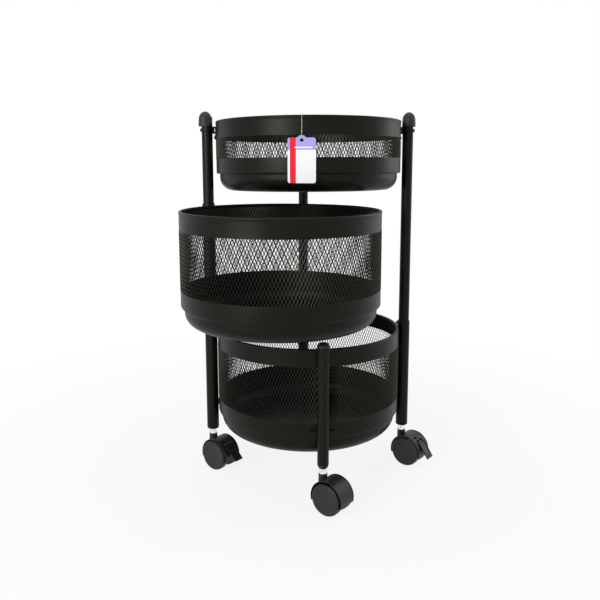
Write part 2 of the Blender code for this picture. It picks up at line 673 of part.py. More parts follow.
def wheel_mesh(side):
    """One wheel, with a blind bore for the axle. side is -1 or 1 along the axle."""
    bore = AXLE_RADIUS + FIT_GAP
    edge = WHEEL_EDGE_ROUND
    profile = [
        (0, WHEEL_WIDTH),
        (WHEEL_RADIUS - edge, WHEEL_WIDTH),
        (WHEEL_RADIUS, WHEEL_WIDTH - edge),
        (WHEEL_RADIUS, edge),
        (WHEEL_RADIUS - edge, 0),
        (bore, 0),
        (bore, WHEEL_WIDTH - WHEEL_FACE_WALL),
        (0, WHEEL_WIDTH - WHEEL_FACE_WALL),
    ]
    mesh = finished_mesh(turned(profile, WHEEL_STEPS))
    on_its_side = Matrix.Rotation(-side * math.pi / 2, 4, "X")
    mesh.transform(Matrix.Translation((0, side * WHEEL_INNER_FACE, 0)) @ on_its_side)
    return mesh


def lever_mesh():
    """The brake pedal: it lies on the hood and runs off it straight, down to its tip."""
    near = HOOD_RADIUS + FIT_GAP
    bend = Vector((math.cos(LEVER_BEND_ANGLE), math.sin(LEVER_BEND_ANGLE)))
    along = Vector((bend.y, -bend.x))
    sides = []
    for radius in (near, near + LEVER_THICKNESS):
        tip = bend * radius + along * LEVER_REACH
        sides.append(arc(radius, LEVER_TOP_ANGLE, LEVER_BEND_ANGLE, CORNER_STEPS) + [tuple(tip)])
    outline = sides[0] + sides[1][::-1]
    return finished_mesh(plate([outline], LEVER_HALF_WIDTH, upright=True))


def add_casters(rack):
    """Four alike casters. The left and right ones have brakes."""
    stem = stem_mesh()
    housing = housing_mesh()
    wheels = {"near": wheel_mesh(-1), "far": wheel_mesh(1)}
    lever = lever_mesh()
    axle_place = (CASTER_TRAIL, 0, WHEEL_RADIUS)
    for name, post in rack.posts.items():
        swivel = rack.empty(name + "_swivel", rack.layout)
        swivel.location = post.location
        swivel.rotation_euler.z = CASTER_HEADING
        rack.add(name + "_caster_stem", stem, "chrome", post)
        rack.add(name + "_caster_housing", housing, "caster_plastic", swivel)
        for side, mesh in wheels.items():
            rack.add(name + "_" + side + "_wheel", mesh, "caster_plastic", swivel, axle_place)
        if name in ("left", "right"):
            rack.add(name + "_brake_lever", lever, "caster_plastic", swivel, axle_place)


def tag_card_mesh():
    """The card, standing in XZ. The strand that it hangs on crosses the origin."""
    half_width = TAG_WIDTH / 2
    hole_centre = (0, -TAG_HANG)
    top = TAG_HOLE_BELOW_EDGE - TAG_HANG
    bottom = top - TAG_HEIGHT
    corner = TAG_CORNER_RADIUS
    quarter = math.pi / 2
    bump = math.asin(TAG_HOLE_BELOW_EDGE / TAG_BUMP_RADIUS)
    outline = arc(corner, -2 * quarter, -quarter, CORNER_STEPS, (corner - half_width, bottom + corner))
    outline += arc(corner, -quarter, 0, CORNER_STEPS, (half_width - corner, bottom + corner))
    outline += arc(corner, 0, quarter, CORNER_STEPS, (half_width - corner, top - corner))
    outline += arc(TAG_BUMP_RADIUS, bump, math.pi - bump, 2 * CORNER_STEPS, hole_centre)
    outline += arc(corner, quarter, 2 * quarter, CORNER_STEPS, (corner - half_width, top - corner))
    hole = arc(TAG_HOLE_RADIUS, 0, 2 * math.pi, 4 * CORNER_STEPS, hole_centre)[:-1]
    return finished_mesh(plate([outline, hole], TAG_THICKNESS / 2, upright=True))


def loop_mesh(card_distance, hang_height):
    """The strand over the rim, from inside the basket to the card's hole."""
    bead_inside = BASKET_RADIUS + BEAD_PROUD - 2 * BEAD_RADIUS
    bead_outside = BASKET_RADIUS + BEAD_PROUD
    away = LOOP_RADIUS + LOOP_CLEARANCE
    bead_centre = (bead_outside - BEAD_RADIUS, -BEAD_RADIUS)
    front = card_distance + TAG_THICKNESS / 2 + away
    back = card_distance - TAG_THICKNESS / 2 - away
    route = [(bead_inside - away, -LOOP_INNER_LEG)]
    route += arc(BEAD_RADIUS + away, math.pi, 0, 2 * CORNER_STEPS, bead_centre)
    route += [
        (front, hang_height + TAG_HOLE_BELOW_EDGE),
        (front, hang_height + LOOP_RADIUS),
        (front - away / 2, hang_height),
        (back, hang_height),
    ]
    curve = bpy.data.curves.new("strand", "CURVE")
    curve.dimensions = "3D"
    curve.bevel_depth = LOOP_RADIUS
    curve.bevel_resolution = 1
    curve.use_fill_caps = True
    spline = curve.splines.new("POLY")
    spline.points.add(len(route) - 1)
    for point, (distance, height) in zip(spline.points, route):
        point.co = (0, -distance, height, 1)
    return finished_mesh(helper_object("strand", curve_mesh(curve)))


def add_hang_tag(rack):
    """A card on a strand over the top basket's rim."""
    card_distance = BASKET_RADIUS + MESH_PROUD + TAG_STANDOFF + TAG_THICKNESS / 2
    hang_height = -TAG_TOP_BELOW_RIM - TAG_HOLE_BELOW_EDGE + TAG_HANG
    aside = rack.empty("tag_place", rack.layout)
    aside.rotation_euler.z = TAG_TURN
    card_place = (0, -card_distance, TOP_RIM_HEIGHT + hang_height)
    rack.add("tag_card", tag_card_mesh(), "card", aside, card_place)
    strand = loop_mesh(card_distance, hang_height)
    rack.add("tag_loop", strand, "clear_strand", aside, (0, 0, TOP_RIM_HEIGHT))


def centre_on_origin(rack):
    """Move the whole rack so that the origin is under the middle of its bounding box."""
    bpy.context.view_layer.update()
    points = [part.matrix_world @ v.co for part in rack.parts.objects for v in part.data.vertices]
    middle = [(min(p[axis] for p in points) + max(p[axis] for p in points)) / 2 for axis in (0, 1)]
    rack.layout.location = (-middle[0], -middle[1], 0)
    bpy.context.view_layer.update()


def main():
    rack = Rack()
    add_baskets(rack)
    add_tubes(rack)
    add_caps(rack)
    add_plugs(rack)
    add_brackets(rack)
    add_casters(rack)
    add_hang_tag(rack)
    centre_on_origin(rack)
    for name, post in rack.posts.items():
        print(name, "post axis at", [round(value, 6) for value in post.matrix_world.translation])


main()
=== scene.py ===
"""Looks of the tiered vegetable rack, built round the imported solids.

Lengths are in metres and colours in linear light. Places come from the frame's nodes, and
the values here are the details that the solids leave out: rounded edges, expanded metal,
finishes and light.
"""
import json
import math

import bmesh
import bpy
from mathutils import Euler, Matrix, Vector

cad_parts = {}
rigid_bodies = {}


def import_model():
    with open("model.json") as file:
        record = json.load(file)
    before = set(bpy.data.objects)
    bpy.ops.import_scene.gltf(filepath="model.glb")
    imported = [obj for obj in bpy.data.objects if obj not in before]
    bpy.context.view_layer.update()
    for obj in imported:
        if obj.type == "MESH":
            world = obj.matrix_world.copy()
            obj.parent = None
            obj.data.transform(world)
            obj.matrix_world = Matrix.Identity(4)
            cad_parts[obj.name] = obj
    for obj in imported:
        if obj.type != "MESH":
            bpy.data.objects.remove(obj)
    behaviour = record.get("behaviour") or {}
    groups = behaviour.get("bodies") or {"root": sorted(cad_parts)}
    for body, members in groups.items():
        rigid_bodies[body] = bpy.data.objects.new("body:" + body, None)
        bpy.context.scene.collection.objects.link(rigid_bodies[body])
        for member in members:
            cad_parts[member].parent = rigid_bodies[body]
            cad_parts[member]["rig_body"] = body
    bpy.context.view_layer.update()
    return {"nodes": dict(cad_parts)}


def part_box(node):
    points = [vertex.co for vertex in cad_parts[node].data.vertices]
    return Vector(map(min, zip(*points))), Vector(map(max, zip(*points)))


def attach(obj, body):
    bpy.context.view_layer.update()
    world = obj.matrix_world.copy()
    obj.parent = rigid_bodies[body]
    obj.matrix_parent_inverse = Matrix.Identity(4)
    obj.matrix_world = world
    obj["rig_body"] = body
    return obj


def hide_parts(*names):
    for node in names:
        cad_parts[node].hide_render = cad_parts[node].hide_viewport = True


# Camera, fitted to the photograph
CAMERA_PLACE = (-0.0683, -1.0265, 0.4944)
CAMERA_TURN = math.radians(-2.92)
CAMERA_TILT = math.radians(90 - 8.59)
CAMERA_LENS = 40.71
CAMERA_SENSOR = 36
CAMERA_SHIFT = (-0.0069, -0.0616)
CAMERA_NEAR = 0.01

# Light: each lamp's place, size and watts. All face one point.
LAMP_AIM = (0, 0, 0.3)
LAMPS = {
    "left_box": ((-1.20, -1.50, 0.7), (0.7, 0.9), 22),
    "right_box": ((1.5, 0.6, 0.9), (0.5, 1.4), 6),
    "top_box": ((-0.2, -0.2, 1.9), (1.2, 1.2), 7),
}
SURROUND_LIGHT = 0.42
FLOOR_REACH = 4
FLOOR_GREY = (0.90, 0.90, 0.90, 1)

# How white the floor is near the rack, and where it passes into the white surround
FLOOR_NEAR_WHITE = 0.86
FLOOR_FADE = (0.30, 1.00)

# Finishes
COAT_COLOURS = ((0.0020, 0.0022, 0.0017), (0.0034, 0.0036, 0.0028))
COAT_TINT = (1.0, 1.0, 0.84, 1)
COAT_SHINE = 0.15
STRAND_SHINE = 0.25
CAP_COLOUR = (0.021, 0.021, 0.019)
CASTER_COLOUR = (0.0170, 0.0172, 0.0158)
GRAIN_DARKER_SHARE = 0.8
CHROME_COLOUR = (0.80, 0.80, 0.81, 1)
CLEAR_COLOUR = (0.86, 0.87, 0.88, 1)
TAG_WHITE = (0.92, 0.92, 0.93)
TAG_RED = (0.82, 0.010, 0.032)
TAG_LILAC = (0.42, 0.37, 0.80)

# Expanded metal: bonds in staggered rows, joined by slanting strands
BOND_PITCH = 0.0048
BOND_WIDTH = 0.0016
BOND_LENGTH = 0.0014
HALF_ROW = 0.00535
STRAND_THICKNESS = 0.0006
STRAND_TILT = 0.0005
MESH_TUCK = 0.0004
MESH_BEHIND_BAND = 0.0001

# Sheet parts: the bead's angles are in degrees about its own middle
BASKET_RADII = {"top": 0.1418, "middle": 0.1418, "bottom": 0.1445}
TOP_TILT = (math.radians(-0.75), math.radians(-0.20))
TOP_SAG = 0.0008
SHEET = 0.0008
BEAD_RADIUS = 0.0022
BEAD_PROUD = 0.0005
BEAD_OUTER_ANGLES = (90, -30)
BEAD_INNER_ANGLES = (245, 110)
BAND_EDGE_ROUND = 0.0020
LIP_WIDTH = 0.0044
PAN_INSET = 0.0050
PAN_CORNER_RADIUS = 0.020
PAN_SHOULDER_ROUND = 0.0012
EMBOSS_RADIUS = 0.085
EMBOSS_HEIGHT = 0.0015
EMBOSS_SLOPE = 0.003
SEAM_ANGLE = math.radians(118)
SEAM_DEPTH = 0.0002
SEAM_WIDTH = 0.0006

# Posts
THIN_TUBE_RADIUS = 0.0083
THICK_TUBE_RADIUS = 0.0096
TUBE_WALL = 0.0010
TUBE_EDGE = 0.0003
FIT_GAP = 0.0003
COLLAR_WALL = 0.0020
ARM_WIDTH = 0.0110
EDGE_ROUND = 0.0004

# Caps and plugs: the domes' outlines are shares of a cap's radius and height
DOME_SHARES = ((0, 0), (0.30, 0.03), (0.52, 0.10), (0.74, 0.20), (0.87, 0.32), (0.95, 0.52), (1, 1))
LOW_DOME_SHARES = ((0, 0), (0.45, 0.07), (0.78, 0.28), (0.97, 0.66), (1, 1))
CAP_TOP_WALL = 0.0085
FRONT_CAP_TOP_WALL = 0.0050
CAP_EDGE = 0.0006
CAP_OFF_AXIS = {"left": 0.0024, "right": 0.0012, "back": 0, "front": 0}
PLUG_FLANGE_HEIGHT = 0.0024
PLUG_RAISE = 0.0014
PLUG_WAIST_SHARE = 0.42
FRONT_PLUG_CONE_HEIGHT = 0.0055
FRONT_PLUG_END_RADIUS = 0.0066

# Brackets
POST_TO_BAND = 0.0133
POST_TO_BOTTOM_BAND = 0.0106
POST_TO_BOTTOM_BEAD = 0.0126
BOTTOM_COLLAR_WALL = 0.0010
BOTTOM_COLLAR_TAPER = 0.0022
BOTTOM_WEB_HEIGHT = 0.0050
BOTTOM_WEB_EDGE_HEIGHT = 0.0010
TOP_COLLAR_HEIGHT = 0.0050
TOP_ROD_RADIUS = 0.0014
TOP_ROD_INSET = 0.0003
TOP_SADDLE_PROUD = 0.0004
TOP_SADDLE_SINK = 0.0004
TOP_FOOT_DROP = 0.0150
TOP_FOOT_POINT = 0.0032
TOP_FOOT_SLOPE = 2.4 * TOP_FOOT_POINT
PIVOT_CONE_HEIGHT = 0.0050
BEAD_UNDER_ARM = 0.0072
LUG_WIDTH = 0.0140
FRONT_LUG_WIDTH = 0.0340
LUG_ROUND = 0.0010

# Casters: angles are in degrees about the axle
CASTER_HEADING = math.radians(-41)
CASTER_TRAIL = 0.0165
CASTER_HEIGHT = 0.061
CASTER_ROUND = 0.00035
WHEEL_RADIUS = 0.024
WHEEL_TREAD_GAP = 0.0003
WHEEL_WIDTH = 0.0119
WHEEL_INNER_FACE = 0.0069
WHEEL_OUTER_FACE = 0.0181
WHEEL_EDGE_ROUND = 0.0018
WHEEL_SHOULDER = (0.0028, 0.0044)
WHEEL_FACE_WALL = 0.0025
FACE_DISH = 0.0007
FACE_SHARES = ((0.35, 1), (0.62, 0.8), (0.68, 0.4))
RIM_THICKNESS = 0.0040
BACK_HOLLOW = 0.0040
HUB_RADIUS = 0.0075
AXLE_RADIUS = 0.003
HOOD_INNER_RADIUS = 0.0251
HOOD_WALL = 0.0007
HOOD_HALF_WIDTH = 0.0164
HOOD_ANGLES = (-16, 196)
HOOD_RIM_PROUD = 0.0008
HOOD_RIM_WIDTH = 0.0026
HOOD_RIM_ROUND = 0.0008
WEB_THICKNESS = 0.003
WEB_SET_BACK = 4
SOCKET_RADIUS = 0.0064
SOCKET_SWELL = 1.04
SOCKET_STEP_SHARES = (0.30, 0.38)
SOCKET_TOP = 0.0537
SOCKET_DEPTH = 0.0200
SOCKET_FLOOR = 0.0040
STEM_RADIUS = 0.004
STEM_NECK_RADIUS = 0.0062
STEM_IN_PLUG = 0.014
BRAKED = ("left", "right")
LEVER_HALF_WIDTH = 0.008
LEVER_THICKNESS = 0.0020
LEVER_PLATE_SHARE = 0.6
LEVER_ANGLES = (47, 38)
LEVER_REACHES = {"left": 0.0300, "right": 0.0270}
LEVER_FLARE = 1.12
LEVER_SINK = 0.0014
LEVER_LIFTS = {"left": math.radians(6.5), "right": math.radians(-3)}
LEVER_RIB = 0.0016
LEVER_PAD = 0.0050
WINDOW_ANGLES = (10, 51)
WINDOW_MARGIN = 0.0008
SLOT_ANGLES = (56, 63)
SLOT_WIDTH = 0.0062
SLOT_OFF_MIDDLE = 0.0052

# Hang tag
MESH_PROUD = 0.0010
TAG_WIDTH = 0.0382
TAG_HEIGHT = 0.0607
TAG_THICKNESS = 0.0006
TAG_CORNER_RADIUS = 0.0035
TAG_BUMP_RADIUS = 0.0066
TAG_HOLE_RADIUS = 0.0024
TAG_HOLE_BELOW_EDGE = 0.0033
TAG_TURN = math.radians(-6.7)
TAG_TOP_BELOW_RIM = 0.0294
TAG_STANDOFF = 0.0022
LOOP_RADIUS = 0.0005
LOOP_INNER_LEG = 0.020
LOOP_CLEARANCE = 0.0004
TAG_HANG = TAG_HOLE_RADIUS - LOOP_RADIUS - LOOP_CLEARANCE
TAG_STRIP = (0.0031, 0.0112)
TAG_HEAD = 0.0162
TAG_BAR_ACROSS = (0.0094, 0.0333)
TAG_BAR_DOWN = (0.0121, 0.0140)

# The way each post faces: its basket lies opposite
POST_ANGLES = {
    "left": math.pi,
    "right": 0,
    "back": math.pi / 2,
    "front": math.radians(4.66 - 90),
}

# How far cutting shapes run past what they cut
OVERRUN = 0.002
WINDOW_OVERRUN = 0.003
WINDOW_UNDERRUN = 0.0004

# How finely round shapes are divided
BASKET_STEPS = 192
TUBE_STEPS = 48
DETAIL_STEPS = 64
WHEEL_STEPS = 72
HOOD_STEPS = 56
LEVER_STEPS = 12

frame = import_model()


def middle_of(node):
    """The middle of a CAD node's box."""
    low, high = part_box(node)
    return (low + high) / 2


def foot_of(node):
    """The height of a CAD node's underside."""
    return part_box(node)[0].z


def height_of(node):
    """A CAD node's height."""
    low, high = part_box(node)
    return high.z - low.z


def body_name(node):
    """The body that a CAD node rides on."""
    return frame["nodes"][node]["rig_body"]


def new_object(name, data):
    """An object that is linked to the scene."""
    item = bpy.data.objects.new(name, data)
    bpy.context.scene.collection.objects.link(item)
    return item


def new_material(name):
    """A material, and its node tree and Principled shader."""
    material = bpy.data.materials.new(name)
    material.use_nodes = True
    tree = material.node_tree
    return material, tree, tree.nodes["Principled BSDF"]


def bump_from(tree, shader, height, strength, distance):
    """Feed a height into the shader's normal."""
    bump = tree.nodes.new("ShaderNodeBump")
    bump.inputs["Strength"].default_value = strength
    bump.inputs["Distance"].default_value = distance
    tree.links.new(height, bump.inputs["Height"])
    tree.links.new(bump.outputs["Normal"], shader.inputs["Normal"])


def noise(tree, scale, detail=2.0, roughness=0.5):
    """Noise over the object's own coordinates, at a scale in cells to the metre."""
    place = tree.nodes.new("ShaderNodeTexCoord")
    node = tree.nodes.new("ShaderNodeTexNoise")
    node.inputs["Scale"].default_value = scale
    node.inputs["Detail"].default_value = detail
    node.inputs["Roughness"].default_value = roughness
    tree.links.new(place.outputs["Object"], node.inputs["Vector"])
    return node.outputs["Fac"]


def colour_between(tree, fac, low, high, start=0.3, end=0.7):
    """A colour that varies with a factor."""
    ramp = tree.nodes.new("ShaderNodeValToRGB")
    for stop, position, colour in zip(ramp.color_ramp.elements, (start, end), (low, high)):
        stop.position = position
        stop.color = (*colour, 1)
    tree.links.new(fac, ramp.inputs["Fac"])
    return ramp.outputs["Color"]


def value_between(tree, fac, low, high, span=(0, 1), interpolation="LINEAR"):
    """A value that varies with a factor, from one end of its span to the other."""
    node = tree.nodes.new("ShaderNodeMapRange")
    node.interpolation_type = interpolation
    for name, value in zip(("From Min", "From Max", "To Min", "To Max"), (*span, low, high)):
        node.inputs[name].default_value = value
    tree.links.new(fac, node.inputs["Value"])
    return node.outputs["Result"]


def math_node(tree, operation, first, second):
    """The result of an operation on two values, each an output or a number."""
    node = tree.nodes.new("ShaderNodeMath")
    node.operation = operation
    for socket, value in zip(node.inputs, (first, second)):
        if isinstance(value, (int, float)):
            socket.default_value = value
        else:
            tree.links.new(value, socket)
    return node.outputs[0]


def powder_coat_material(name, shine):
    """Black satin powder coat with a faint orange peel and slight unevenness."""
    material, tree, shader = new_material(name)
    patches = noise(tree, scale=18, detail=3)
    tree.links.new(colour_between(tree, patches, *COAT_COLOURS), shader.inputs["Base Color"])
    tree.links.new(value_between(tree, patches, 0.36, 0.44), shader.inputs["Roughness"])
    shader.inputs["Specular IOR Level"].default_value = shine
    shader.inputs["Specular Tint"].default_value = COAT_TINT
    peel = noise(tree, scale=900, detail=2)
    bump_from(tree, shader, peel, strength=0.22, distance=0.00012)
    return material


def grained_material(name, colour, roughness, grain, depth):
    """Moulded plastic with a spark-eroded grain."""
    material, tree, shader = new_material(name)
    darker = tuple(GRAIN_DARKER_SHARE * c for c in colour)
    patches = noise(tree, scale=60, detail=2)
    tree.links.new(colour_between(tree, patches, darker, colour), shader.inputs["Base Color"])
    uneven = value_between(tree, patches, roughness - 0.04, roughness + 0.05)
    tree.links.new(uneven, shader.inputs["Roughness"])
    shader.inputs["Specular IOR Level"].default_value = 0.28
    sparks = noise(tree, grain, detail=3, roughness=0.6)
    bump_from(tree, shader, sparks, strength=0.5, distance=depth)
    return material


def chrome_material():
    """Polished plating with faint turning marks."""
    material, tree, shader = new_material("chrome_look")
    shader.inputs["Base Color"].default_value = CHROME_COLOUR
    shader.inputs["Metallic"].default_value = 1.0
    marks = noise(tree, scale=1500, detail=1)
    tree.links.new(value_between(tree, marks, 0.06, 0.14), shader.inputs["Roughness"])
    return material


def card_material():
    """Coated card: white, with a lilac head, a red strip and a blank white bar."""
    material, tree, shader = new_material("card_look")
    place = tree.nodes.new("ShaderNodeTexCoord")
    parts = tree.nodes.new("ShaderNodeSeparateXYZ")
    tree.links.new(place.outputs["Object"], parts.inputs["Vector"])

    def where(axis, operation, limit):
        """1 where a coordinate lies above or below a limit."""
        return math_node(tree, operation, parts.outputs[axis], limit)

    def both(first, second):
        """1 where both are 1."""
        return math_node(tree, "MULTIPLY", first, second)

    def between(axis, edge, limits):
        """1 where a coordinate lies between two limits, as distances from an edge."""
        start, end = sorted(edge + limit for limit in limits)
        return both(where(axis, "GREATER_THAN", start), where(axis, "LESS_THAN", end))

    def paint(colour, over, mask):
        """Lay a colour over another where the mask is 1."""
        mix = tree.nodes.new("ShaderNodeMix")
        mix.data_type = "RGBA"
        mix.inputs["B"].default_value = (*colour, 1)
        if isinstance(over, tuple):
            mix.inputs["A"].default_value = (*over, 1)
        else:
            tree.links.new(over, mix.inputs["A"])
        tree.links.new(mask, mix.inputs["Factor"])
        return mix.outputs["Result"]

    top = TAG_HOLE_BELOW_EDGE - TAG_HANG
    left = -TAG_WIDTH / 2
    printed = where("Y", "LESS_THAN", 0)
    head = both(printed, where("Z", "GREATER_THAN", top - TAG_HEAD))
    strip = both(printed, between("X", left, TAG_STRIP))
    down = [-distance for distance in TAG_BAR_DOWN]
    bar = both(between("X", left, TAG_BAR_ACROSS), between("Z", top, down))
    colour = paint(TAG_LILAC, TAG_WHITE, head)
    colour = paint(TAG_RED, colour, strip)
    colour = paint(TAG_WHITE, colour, both(printed, bar))
    tree.links.new(colour, shader.inputs["Base Color"])
    shader.inputs["Roughness"].default_value = 0.35
    shader.inputs["Specular IOR Level"].default_value = 0.25
    fibres = noise(tree, scale=1200, detail=3)
    bump_from(tree, shader, fibres, strength=0.15, distance=0.00004)
    return material


def strand_material():
    """Clear moulded plastic, slightly milky."""
    material, tree, shader = new_material("clear_strand_look")
    shader.inputs["Base Color"].default_value = CLEAR_COLOUR
    shader.inputs["Transmission Weight"].default_value = 0.75
    shader.inputs["IOR"].default_value = 1.45
    streaks = noise(tree, scale=800, detail=2)
    tree.links.new(value_between(tree, streaks, 0.18, 0.32), shader.inputs["Roughness"])
    return material


MATERIALS = {
    "powder_coat": powder_coat_material("powder_coat_look", COAT_SHINE),
    "cap_plastic": grained_material(
        "cap_plastic_look", CAP_COLOUR, roughness=0.46, grain=900, depth=0.00035),
    "caster_plastic": grained_material(
        "caster_plastic_look", CASTER_COLOUR, roughness=0.44, grain=1500, depth=0.00009),
    "chrome": chrome_material(),
}
STRAND_COAT = powder_coat_material("strand_coat_look", STRAND_SHINE)


def arc(radius, start, end, steps, centre=(0, 0)):
    """Points on an arc, from one angle in degrees to another."""
    angles = [math.radians(start + (end - start) * step / steps) for step in range(steps + 1)]
    return [(centre[0] + radius * math.cos(a), centre[1] + radius * math.sin(a)) for a in angles]


def finish_shading(mesh, sharp=35):
    """Smooth shading that keeps the edges over an angle."""
    mesh.shade_smooth()
    mesh.set_sharp_from_angle(angle=math.radians(sharp))
    return mesh


def mesh_from(shape):
    """A mesh from a bmesh, with its faces turned outwards."""
    bmesh.ops.recalc_face_normals(shape, faces=shape.faces)
    mesh = bpy.data.meshes.new("piece")
    shape.to_mesh(mesh)
    shape.free()
    return mesh


def turned_mesh(profile, steps, seam=False):
    """Turn a profile (radius, height) about Z. It runs down the outer side and closes on itself.

    A profile with both ends on the axis is closed there.
    """
    angles = [2 * math.pi * step / steps for step in range(steps)]
    if seam:
        turn = SEAM_WIDTH / profile[0][0]
        angles = [angle for angle in angles if abs(angle - SEAM_ANGLE) > turn]
        angles = sorted(angles + [SEAM_ANGLE - turn, SEAM_ANGLE, SEAM_ANGLE + turn])
    on_axis = profile[0][0] == 0
    shape = bmesh.new()
    if on_axis:
        ends = [shape.verts.new((0, 0, profile[end][1])) for end in (0, -1)]
        profile = profile[1:-1]
    columns = []
    for angle in angles:
        sunk = SEAM_DEPTH if seam and angle == SEAM_ANGLE else 0
        cos, sin = math.cos(angle), math.sin(angle)
        columns.append([
            shape.verts.new(((r - sunk) * cos, (r - sunk) * sin, z)) for r, z in profile])
    for index, column in enumerate(columns):
        following = columns[(index + 1) % len(columns)]
        for low in range(len(profile) - 1):
            shape.faces.new((column[low], column[low + 1], following[low + 1], following[low]))
        if on_axis:
            shape.faces.new((ends[0], column[0], following[0]))
            shape.faces.new((ends[1], following[-1], column[-1]))
        else:
            shape.faces.new((column[-1], column[0], following[0], following[-1]))
    return finish_shading(mesh_from(shape))


def box_mesh(low, high, edge):
    """A box between two corners, with rounded edges."""
    shape = bmesh.new()
    low, high = Vector(low), Vector(high)
    bmesh.ops.create_cube(shape, size=1)
    bmesh.ops.transform(shape, matrix=Matrix.Diagonal((*(high - low), 1)), verts=shape.verts)
    bmesh.ops.translate(shape, vec=(low + high) / 2, verts=shape.verts)
    bmesh.ops.bevel(
        shape, geom=shape.edges, offset=edge, segments=2, affect="EDGES", profile=0.5)
    return mesh_from(shape)


def rod_mesh(radius, start, end, steps=24):
    """A cylinder from one point to another."""
    start, end = Vector(start), Vector(end)
    axis = end - start
    shape = bmesh.new()
    bmesh.ops.create_cone(
        shape, cap_ends=True, segments=steps, radius1=radius, radius2=radius, depth=axis.length)
    turn = axis.to_track_quat("Z", "Y").to_matrix().to_4x4()
    place = Matrix.Translation((start + end) / 2) @ turn
    bmesh.ops.transform(shape, matrix=place, verts=shape.verts)
    return mesh_from(shape)


def prism_mesh(outline, half_width, edge=0.0, middle=0.0):
    """An outline in XZ, drawn out to both sides along Y from a middle."""
    shape = bmesh.new()
    near = [shape.verts.new((x, -half_width, z)) for x, z in outline]
    far = [shape.verts.new((x, half_width, z)) for x, z in outline]
    shape.faces.new(near)
    shape.faces.new(far[::-1])
    for index in range(len(outline)):
        following = (index + 1) % len(outline)
        shape.faces.new((near[index], near[following], far[following], far[index]))
    mesh = mesh_from(shape)
    if edge:
        rounded(mesh, edge)
    if middle:
        mesh.transform(Matrix.Translation((0, middle, 0)))
    return mesh


def apply_helper(helper):
    """Write a helper's modifiers into its mesh, and remove the helper."""
    bpy.context.view_layer.update()
    depsgraph = bpy.context.evaluated_depsgraph_get()
    result = bpy.data.meshes.new_from_object(helper.evaluated_get(depsgraph))
    shape = bmesh.new()
    shape.from_mesh(result)
    shape.to_mesh(helper.data)
    shape.free()
    bpy.data.meshes.remove(result)
    bpy.data.objects.remove(helper)


def rounded(mesh, edge, angle=40):
    """Round a mesh's sharp edges."""
    helper = new_object("helper", mesh)
    bevel = helper.modifiers.new("Round", "BEVEL")
    bevel.width = edge
    bevel.segments = 2
    bevel.limit_method = "ANGLE"
    bevel.angle_limit = math.radians(angle)
    apply_helper(helper)


def united(base, add, cut, edge=0.0):
    """Join and cut meshes, round the sharp edges and return the mesh that results."""
    helper = new_object("helper", base)
    tools = []
    for operation, meshes in (("UNION", add), ("DIFFERENCE", cut)):
        for mesh in meshes:
            boolean = helper.modifiers.new("Boolean", "BOOLEAN")
            boolean.operation = operation
            boolean.object = new_object("tool", mesh)
            tools.append(boolean.object)
    apply_helper(helper)
    for tool in tools:
        bpy.data.objects.remove(tool)
    if edge:
        rounded(base, edge, angle=50)
    return finish_shading(base)


def joined(*meshes, sharp=35):
    """One mesh of several, laid over each other."""
    shape = bmesh.new()
    for mesh in meshes:
        shape.from_mesh(mesh)
    result = bpy.data.meshes.new("piece")
    shape.to_mesh(result)
    shape.free()
    return finish_shading(result, sharp)


def add_piece(node, mesh, slot, body, place, turn=0.0, material=None):
    """Put a finished piece in its place, on its body, in the stead of its CAD node."""
    piece = new_object(node + "_look", mesh)
    if not mesh.materials:
        mesh.materials.append(material or MATERIALS[slot])
    piece.location = place
    piece.rotation_euler.z = turn
    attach(piece, body)
    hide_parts(node)


def rim_band(radius, height):
    """The upper band with its rolled bead, from the rim at z = 0 down."""
    inside = radius - SHEET
    bead = (radius + BEAD_PROUD - BEAD_RADIUS, -BEAD_RADIUS)
    crease = -2 * BEAD_RADIUS
    profile = arc(BEAD_RADIUS, *BEAD_OUTER_ANGLES, steps=12, centre=bead)
    profile += [(radius, crease - SHEET), (radius, -height), (inside, -height), (inside, crease)]
    profile += arc(BEAD_RADIUS, *BEAD_INNER_ANGLES, steps=10, centre=bead)
    return turned_mesh(profile, BASKET_STEPS, seam=True)


def lower_band(radius, height):
    """The lower band, rounded under into its lip. Its top is at z = 0."""
    centre = (radius - BAND_EDGE_ROUND, BAND_EDGE_ROUND - height)
    profile = [(radius, 0)]
    profile += arc(BAND_EDGE_ROUND, 0, -90, steps=6, centre=centre)
    profile += [(radius - LIP_WIDTH, -height), (radius - LIP_WIDTH, SHEET - height)]
    profile += arc(BAND_EDGE_ROUND - SHEET, -90, 0, steps=6, centre=centre)
    profile += [(radius - SHEET, 0)]
    return turned_mesh(profile, BASKET_STEPS, seam=True)


def pan(radius, under, top):
    """The pan, its underside and its flange's top at the heights given."""
    outside = radius - PAN_INSET
    floor = under + SHEET
    corner = (outside - PAN_CORNER_RADIUS, under + PAN_CORNER_RADIUS)
    flange_edge = radius - BAND_EDGE_ROUND - SHEET / 2 - FIT_GAP
    shoulder = (outside + PAN_SHOULDER_ROUND, top - SHEET - PAN_SHOULDER_ROUND)
    profile = [(0, floor + EMBOSS_HEIGHT), (EMBOSS_RADIUS, floor + EMBOSS_HEIGHT)]
    profile += [(EMBOSS_RADIUS + EMBOSS_SLOPE, floor)]
    profile += arc(PAN_CORNER_RADIUS - SHEET, -90, 0, steps=10, centre=corner)
    profile += [(outside - SHEET, top), (flange_edge, top), (flange_edge, top - SHEET)]
    profile += arc(PAN_SHOULDER_ROUND, 90, 180, steps=4, centre=shoulder)
    profile += arc(PAN_CORNER_RADIUS, 0, -90, steps=10, centre=corner)
    profile += [(EMBOSS_RADIUS + EMBOSS_SLOPE, under), (EMBOSS_RADIUS, under + EMBOSS_HEIGHT)]
    profile += [(0, under + EMBOSS_HEIGHT)]
    return turned_mesh(profile, BASKET_STEPS)


